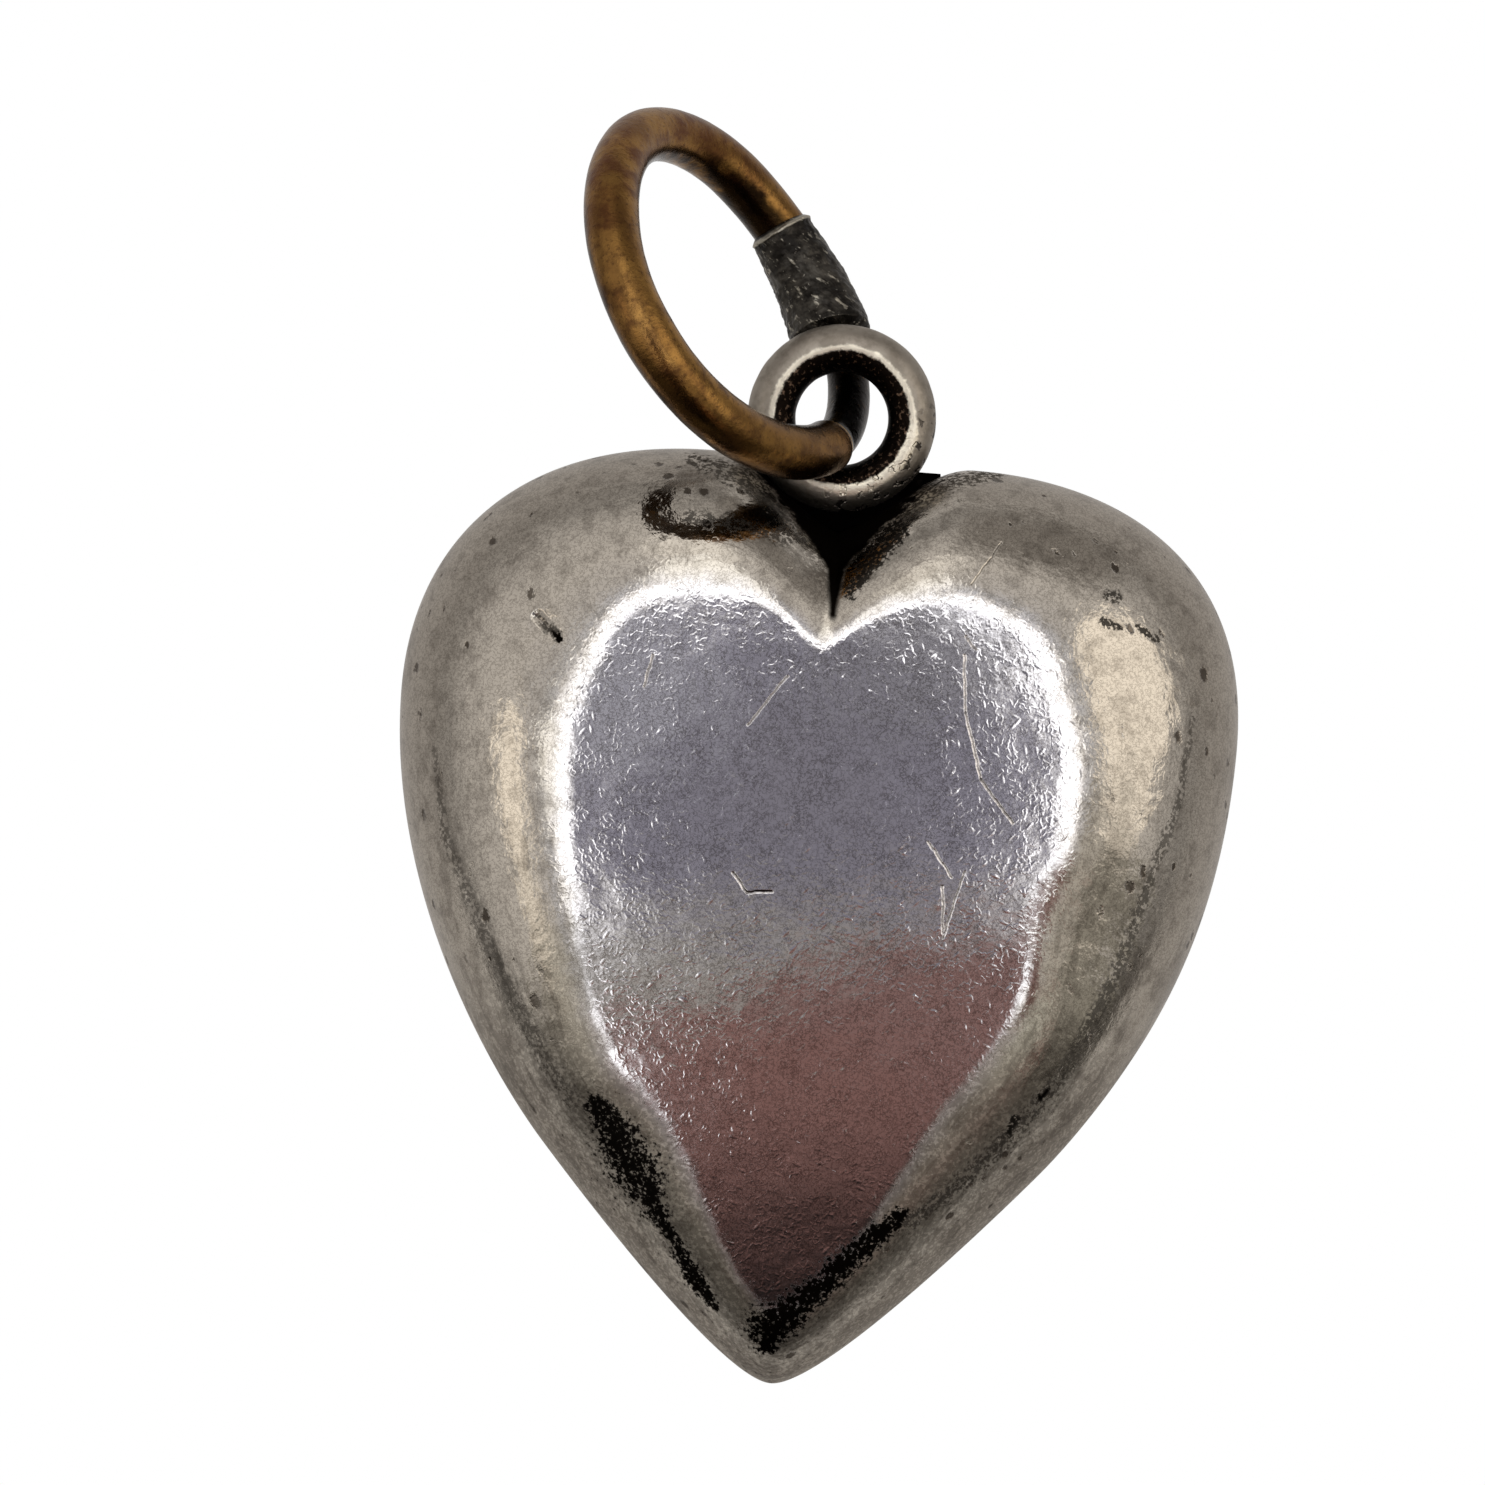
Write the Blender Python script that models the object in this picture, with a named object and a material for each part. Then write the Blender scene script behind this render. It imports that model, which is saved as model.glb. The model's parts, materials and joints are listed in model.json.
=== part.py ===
"""Hollow heart pendant: two die-struck half shells, a soldered bail and a brass jump ring.

Metres, +Z up. The heart faces -Y, with its lobes side by side along X. The origin is the
place at the top of the jump ring's inner side where a chain bears.
"""

import math

import bpy
from mathutils import Matrix, Vector

MM = 0.001

# Heart outline, measured up from the tip
HEART_WIDTH = 15.68 * MM
HEART_HEIGHT = 17.17 * MM  # tip to lobe tops
WIDEST_HEIGHT = 12.30 * MM
LOBE_SPACING = 4.87 * MM  # between the tops of the two lobes
CLEFT_DEPTH = 1.35 * MM  # lobe tops down to the bottom of the cleft
FLANK_WIDTH = 9.18 * MM  # the straight stretch above the tip, at FLANK_HEIGHT
FLANK_HEIGHT = 4.17 * MM
FLANK_ANGLE = math.radians(41.05)  # from the vertical

# Lengths of the outline's curve handles, which set how full each stretch is
TIP_ROUND = 0.88 * MM
FLANK_PULL = 1.49 * MM
SIDE_PULL_DOWN = 3.79 * MM
SIDE_PULL_UP = 2.83 * MM
LOBE_PULL_OUT = 3.51 * MM
LOBE_PULL_IN = 0.83 * MM
CLEFT_PULL = 0.95 * MM
CLEFT_ANGLE = math.radians(68.0)  # each wall of the cleft, from the vertical

# The rounded shoulder between the outline and the gently domed face
SHOULDER_TIP = 1.55 * MM
SHOULDER_FLANK = 2.05 * MM
SHOULDER_SIDE = 3.40 * MM
SHOULDER_SIDE_DROP = 0.60 * MM  # the face is widest lower down than the outline
SHOULDER_LOBE = 2.72 * MM
SHOULDER_CLEFT = 2.22 * MM
CONTOUR_LOBE_SHIFT = 0.20 * MM  # the face's lobes stand a little closer than the outline's
CONTOUR_CLEFT_ANGLE = math.radians(54.0)  # the face's own cleft is the sharper one

# Depth
HALF_THICKNESS = 3.10 * MM  # seam to the crown of one face
CROWN_HEIGHT = 10.80 * MM
DOME_SPAN_X = 19.0 * MM  # where the dome would fall to nothing if it went on sideways
DOME_SPAN_Z = 15.5 * MM
WALL = 0.38 * MM

# Soldered seam between the half shells
SEAM_FILM = 0.06 * MM
SEAM_BEAD_WIDTH = 0.30 * MM
SEAM_BEAD_HEIGHT = 0.34 * MM

# Jump ring and the repair that closes it
RING_WIRE = 1.02 * MM
RING_OUTER = 7.63 * MM
RING_BEND = 0.09 * MM  # how far it is bent out of round, into three soft corners
BEND_ANGLE = math.radians(-143.8)  # one of the corners
RING_LEAN = math.radians(34.8)  # to the left, seen from the front
RING_TURN = math.radians(60.4)  # its plane, turned away from the front
RING_CUT = 0.08 * MM  # between the two ends of the wire
PASS_ANGLE = math.radians(-155.2)  # where round the ring its wire passes through the bail
WORN_WIRE = 0.80 * MM  # the wire where the bail has worn it thin
WORN_START = math.radians(-126.0)
WORN_END = math.radians(-171.0)
WORN_STEP = math.radians(7.0)  # from full to worn thickness
REPAIR_START = math.radians(-81.0)
REPAIR_END = math.radians(-121.0)
REPAIR_THIN = 0.06 * MM  # at its upper end
REPAIR_THICK = 0.20 * MM  # at its lower end
REPAIR_SHIFT = 0.08 * MM  # there it lies more on the ring's inner side
REPAIR_LUMP = 0.030 * MM

# Bail
BAIL_WIRE = 0.90 * MM
BAIL_PLAY = 0.18 * MM  # round the jump ring's slanting, worn wire
WIRE_SIDE = 0.06 * MM  # the ring's wire passes to the right of the bail's centre
WIRE_DROP = 0.09 * MM  # and a little below it
BAIL_SEAT_FILM = 0.05 * MM
BAIL_SOLDER_WIDTH = 3.60 * MM
BAIL_SOLDER_DEPTH = 1.10 * MM
BAIL_SOLDER_HEIGHT = 2.46 * MM
BAIL_SOLDER_DROP = 1.05 * MM  # its middle, below the bail's centre
SOLDER_GAP = 0.015 * MM

# Mesh fineness
TIP_STEPS = 7
FLANK_STEPS = 7
LOBE_STEPS = 12
CLEFT_STEPS = 6
SHOULDER_STEPS = 6
FACE_RINGS = 4
WIRE_SIDES = 16
RING_STEPS = 60
BAIL_STEPS = 40
REPAIR_STEPS = 14
SOLDER_COLUMNS = 30
SOLDER_ROWS = 14
AXIS_MARK = 2.0 * MM  # shown size of the empties

CROWN = Vector((0.0, CROWN_HEIGHT))
ring_radius = (RING_OUTER - RING_WIRE) / 2
ring_up = Vector((-math.sin(RING_LEAN), 0.0, math.cos(RING_LEAN)))
ring_near = Vector((
    -math.cos(RING_LEAN) * math.cos(RING_TURN),
    -math.sin(RING_TURN),
    -math.sin(RING_LEAN) * math.cos(RING_TURN),
))


def ring_reach(angle):
    """From the jump ring's centre to its centre line, which is bent a little out of round."""
    return ring_radius + RING_BEND * math.cos(3 * (angle - BEND_ANGLE))


def ring_point(angle):
    """A point of the jump ring's centre line, from the ring's centre; angle 0 is its top."""
    return ring_reach(angle) * (math.cos(angle) * ring_up + math.sin(angle) * ring_near)


def ring_thickness(angle):
    """Full, but for the worn stretch that runs through the bail."""
    angle = (angle - math.pi) % (2 * math.pi) - math.pi
    into = min(WORN_START - angle, angle - WORN_END) / WORN_STEP
    share = min(max(into + 0.5, 0.0), 1.0)
    return RING_WIRE + (WORN_WIRE - RING_WIRE) * share * share * (3 - 2 * share)


def slant_of_wire():
    """The angle between the ring's wire and the bail's hole where the wire passes through."""
    along = -math.sin(PASS_ANGLE) * ring_up + math.cos(PASS_ANGLE) * ring_near
    return math.acos(abs(along.normalized().y))


bail_radius = (BAIL_WIRE / 2 + WORN_WIRE / 2 + BAIL_PLAY) / math.cos(slant_of_wire())
bail_outer = bail_radius + BAIL_WIRE / 2


def material(name, color, metallic, roughness):
    made = bpy.data.materials.new(name)
    made.use_nodes = True
    shader = made.node_tree.nodes["Principled BSDF"]
    shader.inputs["Base Color"].default_value = (*color, 1.0)
    shader.inputs["Metallic"].default_value = metallic
    shader.inputs["Roughness"].default_value = roughness
    return made


def add_object(name, vertices, faces, look, parent):
    mesh = bpy.data.meshes.new(name)
    mesh.from_pydata([tuple(v) for v in vertices], [], faces)
    mesh.validate()
    mesh.shade_smooth()
    mesh.set_sharp_from_angle(angle=math.radians(50))
    mesh.materials.append(look)
    made = bpy.data.objects.new(name, mesh)
    made.parent = parent
    bpy.context.scene.collection.objects.link(made)
    return made


def add_empty(name, matrix):
    made = bpy.data.objects.new(name, None)
    made.empty_display_size = AXIS_MARK
    made.matrix_world = matrix
    bpy.context.scene.collection.objects.link(made)
    return made


def bezier(start, start_handle, end_handle, end, steps):
    """Points of one cubic stretch, without its last."""
    points = []
    for i in range(steps):
        t = i / steps
        s = 1 - t
        points.append(
            s**3 * start + 3 * s * s * t * start_handle + 3 * s * t * t * end_handle + t**3 * end
        )
    return points


def outline_knots():
    """Right half of the outline from tip to cleft: point, direction, handle before, handle after."""
    return [
        (Vector((0.0, 0.0)), Vector((1.0, 0.0)), 0.0, TIP_ROUND),
        (
            Vector((FLANK_WIDTH / 2, FLANK_HEIGHT)),
            Vector((math.sin(FLANK_ANGLE), math.cos(FLANK_ANGLE))),
            FLANK_PULL,
            FLANK_PULL,
        ),
        (Vector((HEART_WIDTH / 2, WIDEST_HEIGHT)), Vector((0.0, 1.0)), SIDE_PULL_DOWN, SIDE_PULL_UP),
        (Vector((LOBE_SPACING / 2, HEART_HEIGHT)), Vector((-1.0, 0.0)), LOBE_PULL_OUT, LOBE_PULL_IN),
        (
            Vector((0.0, HEART_HEIGHT - CLEFT_DEPTH)),
            Vector((-math.sin(CLEFT_ANGLE), -math.cos(CLEFT_ANGLE))),
            CLEFT_PULL,
            0.0,
        ),
    ]


def contour_knots():
    """The same for the edge of the domed face: each point of the outline moved in."""
    insets = [
        Vector((0.0, SHOULDER_TIP)),
        SHOULDER_FLANK * Vector((-math.cos(FLANK_ANGLE), math.sin(FLANK_ANGLE))),
        Vector((-SHOULDER_SIDE, -SHOULDER_SIDE_DROP)),
        Vector((-CONTOUR_LOBE_SHIFT, -SHOULDER_LOBE)),
        Vector((0.0, -SHOULDER_CLEFT)),
    ]
    outer = outline_knots()
    points = [knot[0] + inset for knot, inset in zip(outer, insets)]
    knots = []
    outer[-1] = (
        outer[-1][0],
        Vector((-math.sin(CONTOUR_CLEFT_ANGLE), -math.cos(CONTOUR_CLEFT_ANGLE))),
        *outer[-1][2:],
    )
    for i, (_, direction, before, after) in enumerate(outer):
        if i > 0:
            before *= (points[i] - points[i - 1]).length / (outer[i][0] - outer[i - 1][0]).length
        if i < len(outer) - 1:
            after *= (points[i + 1] - points[i]).length / (outer[i + 1][0] - outer[i][0]).length
        knots.append((points[i], direction, before, after))
    return knots


def closed_curve(knots):
    """The whole curve, round from the tip by the right lobe, the cleft and the left lobe."""
    steps = [TIP_STEPS, FLANK_STEPS, LOBE_STEPS, CLEFT_STEPS]
    right = []
    for (a, a_dir, _, a_after), (b, b_dir, b_before, _), count in zip(knots, knots[1:], steps):
        right += bezier(a, a + a_after * a_dir, b - b_before * b_dir, b, count)
    cleft = knots[-1][0]
    left = [Vector((-p.x, p.y)) for p in reversed(right[1:])]
    return right + [cleft] + left


def dome(point):
    """Height of the domed face above the seam plane."""
    across = point.x / DOME_SPAN_X
    along = (point.y - CROWN_HEIGHT) / DOME_SPAN_Z
    return HALF_THICKNESS * (1 - across**2 - along**2)


def rim_point(outer, contour, depth):
    """A point this far in from the outline, towards the domed face."""
    return outer + (contour - outer).normalized() * depth


def face_rings(inset):
    """Rings of (x, height, z) from the rim to near the crown, for a surface this far inside."""
    outline = closed_curve(outline_knots())
    contour = closed_curve(contour_knots())
    rings = []
    for i in range(SHOULDER_STEPS + 1):
        turn = math.pi / 2 * i / SHOULDER_STEPS
        ring = []
        for outer, inner in zip(outline, contour):
            point = inner.lerp(rim_point(outer, inner, inset), math.cos(turn))
            ring.append((point.x, (dome(point) - inset) * math.sin(turn), point.y))
        rings.append(ring)
    for i in range(1, FACE_RINGS):
        share = 1 - i / FACE_RINGS
        points = [CROWN.lerp(inner, share) for inner in contour]
        rings.append([(p.x, dome(p) - inset, p.y) for p in points])
    return rings


def bridge(first, second, count):
    """Faces between two closed rings of vertices, given by the number of each one's first."""
    return [
        (first + i, first + (i + 1) % count, second + (i + 1) % count, second + i)
        for i in range(count)
    ]


def dome_surface(inset, lift, tip_z):
    """Vertices and faces of one open face, its rim first, at y = -lift and rising to -Y."""
    rings = face_rings(inset)
    count = len(rings[0])
    vertices = [
        Vector((x, -max(height, lift), tip_z + z)) for ring in rings for x, height, z in ring
    ]
    faces = []
    for i in range(len(rings) - 1):
        faces += bridge(i * count, (i + 1) * count, count)
    last = (len(rings) - 1) * count
    vertices.append(Vector((0.0, -(dome(CROWN) - inset), tip_z + CROWN.y)))
    faces += [(last + i, last + (i + 1) % count, len(vertices) - 1) for i in range(count)]
    return vertices, faces, count


def add_shell(name, facing, look, parent, tip_z):
    """A half shell: outer face, inner face one wall behind it, and the flat rim between them."""
    lift = SEAM_FILM / 2
    outer, outer_faces, count = dome_surface(0.0, lift, tip_z)
    inner, inner_faces, _ = dome_surface(WALL, lift, tip_z)
    first_inner = len(outer)
    faces = list(outer_faces)
    faces += [tuple(first_inner + i for i in reversed(face)) for face in inner_faces]
    faces += [tuple(reversed(face)) for face in bridge(0, first_inner, count)]
    vertices = outer + inner
    if facing > 0:
        vertices = [Vector((v.x, -v.y, v.z)) for v in vertices]
        faces = [tuple(reversed(face)) for face in faces]
    return add_object(name, vertices, faces, look, parent)


def add_seam(look, parent, tip_z):
    """Solder along the seam: a film between the two rims, and its bead along their inner side."""
    film = SEAM_FILM / 2
    bead = SEAM_BEAD_HEIGHT / 2
    inner_side = WALL + SOLDER_GAP
    section = [
        (0.0, -film),
        (inner_side, -film),
        (inner_side, -bead),
        (inner_side + SEAM_BEAD_WIDTH, -film),
        (inner_side + SEAM_BEAD_WIDTH, film),
        (inner_side, bead),
        (inner_side, film),
        (0.0, film),
    ]
    outline = closed_curve(outline_knots())
    contour = closed_curve(contour_knots())
    count = len(outline)
    vertices = []
    for depth, height in section:
        for outer, inner in zip(outline, contour):
            point = rim_point(outer, inner, depth)
            vertices.append(Vector((point.x, height, tip_z + point.y)))
    faces = []
    for i in range(len(section)):
        faces += bridge(i * count, (i + 1) % len(section) * count, count)
    return add_object("seam_solder", vertices, faces, look, parent)


def wire_loop(reach_at, thickness_at, angles, closed):
    """A round wire bent round in the XY plane. Returns its vertices and faces."""
    vertices = []
    for angle in angles:
        out = Vector((math.cos(angle), math.sin(angle), 0.0))
        for side in range(WIRE_SIDES):
            turn = 2 * math.pi * side / WIRE_SIDES
            half = thickness_at(angle, turn) / 2
            vertices.append(
                out * (reach_at(angle) + half * math.cos(turn))
                + Vector((0.0, 0.0, half * math.sin(turn)))
            )
    faces = []
    stations = len(angles)
    for i in range(stations if closed else stations - 1):
        faces += bridge(i * WIRE_SIDES, (i + 1) % stations * WIRE_SIDES, WIRE_SIDES)
    return vertices, faces


def spread(start, end, steps):
    return [start + (end - start) * i / steps for i in range(steps + 1)]


def add_jump_ring(look, parent):
    """The brass wire, cut once: its two ends meet inside the repair."""
    middle = (REPAIR_START + REPAIR_END) / 2
    half_cut = RING_CUT / 2 / ring_radius
    angles = spread(middle + half_cut, middle + 2 * math.pi - half_cut, RING_STEPS)
    vertices, faces = wire_loop(
        ring_reach, lambda angle, turn: ring_thickness(angle), angles, False
    )
    faces = [tuple(reversed(face)) for face in faces]
    last = len(vertices) - WIRE_SIDES
    faces.append(tuple(range(WIRE_SIDES)))
    faces.append(tuple(last + i for i in reversed(range(WIRE_SIDES))))
    return add_object("jump_ring", vertices, faces, look, parent)


def repair_thickness(angle, turn):
    """Outer thickness of the repair: thicker towards the bail, and uneven all over."""
    along = (angle - REPAIR_START) / (REPAIR_END - REPAIR_START)
    swell = REPAIR_THIN + (REPAIR_THICK - REPAIR_THIN) * along
    shift = -REPAIR_SHIFT * along * math.cos(turn)
    lump = math.sin(9 * along + 2 * turn) + math.sin(17 * along - 3 * turn + 1.3)
    return RING_WIRE + 2 * (SOLDER_GAP + swell + shift + REPAIR_LUMP * lump * along)


def add_repair(look, parent):
    """A lumpy sleeve of lead-grey solder round the cut in the jump ring."""
    angles = spread(REPAIR_END, REPAIR_START, REPAIR_STEPS)
    outer, outer_faces = wire_loop(ring_reach, repair_thickness, angles, False)
    bore = RING_WIRE + 2 * SOLDER_GAP
    inner, inner_faces = wire_loop(ring_reach, lambda angle, turn: bore, angles, False)
    first_inner = len(outer)
    faces = [tuple(reversed(face)) for face in outer_faces]
    faces += [tuple(first_inner + i for i in face) for face in inner_faces]
    faces += bridge(0, first_inner, WIRE_SIDES)
    last = len(outer) - WIRE_SIDES
    faces += [tuple(reversed(f)) for f in bridge(last, first_inner + last, WIRE_SIDES)]
    return add_object("ring_solder", outer + inner, faces, look, parent)


def bail_mesh(grown):
    """The bail's ring of wire, standing in the XZ plane round the pivot."""
    angles = spread(0.0, 2 * math.pi, BAIL_STEPS)[:-1]
    wire = BAIL_WIRE + 2 * grown
    vertices, faces = wire_loop(lambda angle: bail_radius, lambda angle, turn: wire, angles, True)
    return [Vector((v.x, v.z, v.y)) for v in vertices], faces


def disc_mesh(radius):
    """A thick disc round the bail's own axis, deeper than the solder."""
    half = BAIL_SOLDER_DEPTH
    angles = spread(0.0, 2 * math.pi, BAIL_STEPS)[:-1]
    rim = [Vector((radius * math.cos(a), 0.0, radius * math.sin(a))) for a in angles]
    deep = Vector((0.0, half, 0.0))
    vertices = [p - deep for p in rim] + [p + deep for p in rim]
    faces = [tuple(reversed(face)) for face in bridge(0, BAIL_STEPS, BAIL_STEPS)]
    faces.append(tuple(range(BAIL_STEPS)))
    faces.append(tuple(BAIL_STEPS + i for i in reversed(range(BAIL_STEPS))))
    return vertices, faces


def tip_below_bail():
    """How far the tip lies below the bail, when the bail rests on both lobes."""
    reach = bail_outer + BAIL_SEAT_FILM
    near = [p for p in closed_curve(outline_knots()) if abs(p.x) < reach and p.y > WIDEST_HEIGHT]
    return max(p.y + math.sqrt(reach**2 - p.x**2) for p in near)


def as_cutter(made):
    made.hide_render = True
    made.display_type = "WIRE"
    return made


def add_bail_solder(look, parent, tip_z):
    """Solder that fills the cleft under the bail, shaped by the bail and by the heart."""
    middle = Vector((0.0, 0.0, -BAIL_SOLDER_DROP))
    half = Vector((BAIL_SOLDER_WIDTH / 2, BAIL_SOLDER_DEPTH / 2, BAIL_SOLDER_HEIGHT / 2))
    vertices = [middle + Vector((0.0, 0.0, -half.z))]
    for row in range(1, SOLDER_ROWS):
        polar = math.pi * row / SOLDER_ROWS
        for column in range(SOLDER_COLUMNS):
            around = 2 * math.pi * column / SOLDER_COLUMNS
            vertices.append(middle + Vector((
                half.x * math.sin(polar) * math.cos(around),
                half.y * math.sin(polar) * math.sin(around),
                -half.z * math.cos(polar),
            )))
    vertices.append(middle + Vector((0.0, 0.0, half.z)))
    count = SOLDER_COLUMNS
    faces = [(0, 1 + (i + 1) % count, 1 + i) for i in range(count)]
    for row in range(SOLDER_ROWS - 2):
        faces += bridge(1 + row * count, 1 + (row + 1) * count, count)
    last = 1 + (SOLDER_ROWS - 2) * count
    faces += [(last + i, last + (i + 1) % count, len(vertices) - 1) for i in range(count)]
    solder = add_object("bail_solder", vertices, faces, look, parent)

    bail_cutter = as_cutter(add_object("bail_solder_cut", *bail_mesh(SOLDER_GAP), look, parent))
    front, front_faces, rim = dome_surface(-SOLDER_GAP, 0.0, tip_z)
    back = [Vector((v.x, -v.y, v.z)) for v in front[rim:]]
    back_index = {i: i if i < rim else i + len(back) for i in range(len(front))}
    faces = front_faces + [tuple(back_index[i] for i in reversed(f)) for f in front_faces]
    heart_cutter = as_cutter(add_object("heart_cut", front + back, faces, look, parent))
    hole_cutter = as_cutter(add_object("hole_cut", *disc_mesh(bail_radius), look, parent))
    for cutter in (heart_cutter, bail_cutter, hole_cutter):
        cut = solder.modifiers.new(cutter.name, "BOOLEAN")
        cut.operation = "DIFFERENCE"
        cut.object = cutter
    return solder


def clear_scene():
    for old in list(bpy.data.objects):
        bpy.data.objects.remove(old, do_unlink=True)


def main():
    clear_scene()
    silver = material("worn_silver", (0.56, 0.53, 0.49), 1.0, 0.28)
    seam_silver = material("seam_silver_solder", (0.50, 0.47, 0.43), 1.0, 0.40)
    bail_silver = material("bail_silver", (0.52, 0.49, 0.44), 1.0, 0.35)
    tarnish = material("blackened_solder", (0.05, 0.045, 0.04), 0.6, 0.70)
    brass = material("aged_brass", (0.42, 0.27, 0.11), 1.0, 0.35)
    lead = material("lead_solder", (0.08, 0.08, 0.075), 0.7, 0.65)

    ring_centre = -(ring_reach(0.0) - RING_WIRE / 2) * ring_up
    passing = Vector((WIRE_SIDE, 0.0, -WIRE_DROP))
    bail_centre = ring_centre + ring_point(PASS_ANGLE) - passing
    ring_axis = ring_up.cross(ring_near)
    ring_frame = Matrix((ring_up, ring_near, ring_axis)).transposed().to_4x4()
    ring_plane = add_empty("ring_plane", Matrix.Translation(ring_centre) @ ring_frame)
    swing_axis = add_empty("swing_axis", Matrix.Translation(bail_centre))

    add_jump_ring(brass, ring_plane)
    add_repair(lead, ring_plane)

    tip_z = -tip_below_bail()
    add_shell("front_shell", -1, silver, swing_axis, tip_z)
    add_shell("back_shell", 1, silver.copy(), swing_axis, tip_z)
    add_seam(seam_silver, swing_axis, tip_z)
    add_object("bail", *bail_mesh(0.0), bail_silver, swing_axis)
    add_bail_solder(tarnish, swing_axis, tip_z)

    bpy.context.view_layer.update()
    print("bail centre, mm:", [round(c / MM, 3) for c in bail_centre])
    print("tip, mm:", round((bail_centre.z + tip_z) / MM, 3))
    print("bail outer diameter, mm:", round(2 * bail_outer / MM, 3))


main()
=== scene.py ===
# Puffy heart pendant in worn silver, hung from a repaired brass jump ring
import json
import math
from functools import partial

import bmesh
import bpy
import numpy as np
from mathutils import Matrix, Vector


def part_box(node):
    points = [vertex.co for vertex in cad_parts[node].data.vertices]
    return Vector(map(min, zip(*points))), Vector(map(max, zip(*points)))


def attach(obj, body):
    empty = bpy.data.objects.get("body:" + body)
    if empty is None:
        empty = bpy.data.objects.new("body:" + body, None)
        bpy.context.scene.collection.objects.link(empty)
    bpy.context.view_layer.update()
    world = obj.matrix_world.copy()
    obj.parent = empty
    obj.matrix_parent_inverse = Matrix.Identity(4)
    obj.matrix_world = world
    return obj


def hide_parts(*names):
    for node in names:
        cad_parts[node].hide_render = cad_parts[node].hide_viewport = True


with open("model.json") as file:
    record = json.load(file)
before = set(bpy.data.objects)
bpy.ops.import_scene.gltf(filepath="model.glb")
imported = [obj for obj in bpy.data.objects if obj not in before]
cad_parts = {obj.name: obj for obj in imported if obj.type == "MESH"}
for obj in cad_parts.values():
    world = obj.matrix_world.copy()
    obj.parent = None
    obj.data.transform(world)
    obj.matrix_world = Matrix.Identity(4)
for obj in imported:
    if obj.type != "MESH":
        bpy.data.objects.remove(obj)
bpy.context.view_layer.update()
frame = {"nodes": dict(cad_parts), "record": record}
mm = 0.001
print("frame loaded")


def linearColor(hexColor):
    channels = [int(hexColor[i : i + 2], 16) / 255 for i in (0, 2, 4)]
    return [c / 12.92 if c <= 0.04045 else ((c + 0.055) / 1.055) ** 2.4 for c in channels] + [1.0]


# the setting that may follow a node's kind, as in "Math MULTIPLY"
mainSetting = {
    "Math": "operation",
    "VectorMath": "operation",
    "MapRange": "interpolation_type",
    "Mix": "data_type",
    "TexNoise": "noise_dimensions",
    "TexVoronoi": "voronoi_dimensions",
    "Attribute": "attribute_name",
    "GeometryNodeInputNamedAttribute": "data_type",
}


def addNode(tree, kind, *values, out=None, **settings):
    # Values fill the node's open sockets in order, or a dictionary fills them by name. A socket is
    # linked and anything else is set. It gives back the first open output, or the one named.
    kind, _, choice = kind.partition(" ")
    node = tree.nodes.new(kind if "Node" in kind else "ShaderNode" + kind)
    if choice:
        settings[mainSetting[kind]] = choice
    for name, value in settings.items():
        setattr(node, name, value)
    if values and isinstance(values[0], dict):
        pairs = [(node.inputs[name], value) for name, value in values[0].items()]
    else:
        pairs = zip([socket for socket in node.inputs if socket.enabled], values)
    for socket, value in pairs:
        if isinstance(value, bpy.types.NodeSocket):
            tree.links.new(value, socket)
        else:
            socket.default_value = value
    return node.outputs[out] if out else next((s for s in node.outputs if s.enabled), None)


def newMaterial(name):
    material = bpy.data.materials.new(name)
    material.use_nodes = True
    material.node_tree.nodes.clear()
    return material, partial(addNode, material.node_tree)


def placeInMm(add, origin):
    # Object coordinates, in mm from a point of the object
    coords = add("TexCoord", out="Object")
    start = tuple(-c / mm for c in origin)
    return add("Mapping", {"Vector": coords, "Location": start, "Scale": (1 / mm, 1 / mm, 1 / mm)})


def centred(add, value, amount):
    # a noise about nought, this high
    return add("Math MULTIPLY", add("Math SUBTRACT", value, 0.5), amount)


def stretched(add, place, stretch, turn):
    # lengthens a pattern along Z, turned about Y
    turned = add("Mapping", {"Vector": place, "Rotation": (0.0, turn, 0.0)})
    return add("Mapping", {"Vector": turned, "Scale": (1.0, 1.0, 1 / stretch)})


def cells(add, place, size, stretch, turn, seed):
    # scattered cells, size mm across: distance from each one's centre, and its own random values
    apart = add("TexVoronoi 4D", stretched(add, place, stretch, turn), seed, 1 / size)
    return apart, add("SeparateColor", apart.node.outputs["Color"]).node.outputs


def shaken(add, place, size, reach, seed=0.0):
    # a place moved about a little, which makes a pattern's edges uneven
    made = add("TexNoise 4D", place, seed, 1 / size, 2.0, out="Color")
    shift = add("VectorMath SUBTRACT", made, (0.5, 0.5, 0.5))
    return add("VectorMath ADD", place, add("VectorMath SCALE", shift, reach))


def laidOver(add, color, over, pattern, start, end, most=1.0):
    # a colour laid over another where a pattern goes from start to end, at most this much
    amount = add("MapRange SMOOTHSTEP", pattern, start, end, 0.0, most)
    return add("Mix RGBA", amount, color, over)


def finishMetal(add, color, roughness, height, edge=linearColor("ffffff")):
    # height is in mm, and edge is how much shines where it is seen from the side
    look = {"Base Color": color, "Metallic": 1.0, "Roughness": roughness, "Specular Tint": edge}
    look["Normal"] = add("Bump", {"Strength": 1.0, "Distance": mm, "Height": height})
    add("OutputMaterial", add("BsdfPrincipled", look))


def linkObject(name, mesh):
    made = bpy.data.objects.new(name, mesh)
    bpy.context.scene.collection.objects.link(made)
    return made


def storeValues(mesh, **values):
    # one number at each point, under each name
    for name, numbers in values.items():
        mesh.attributes.new(name, "FLOAT", "POINT").data.foreach_set("value", numbers)


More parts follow.
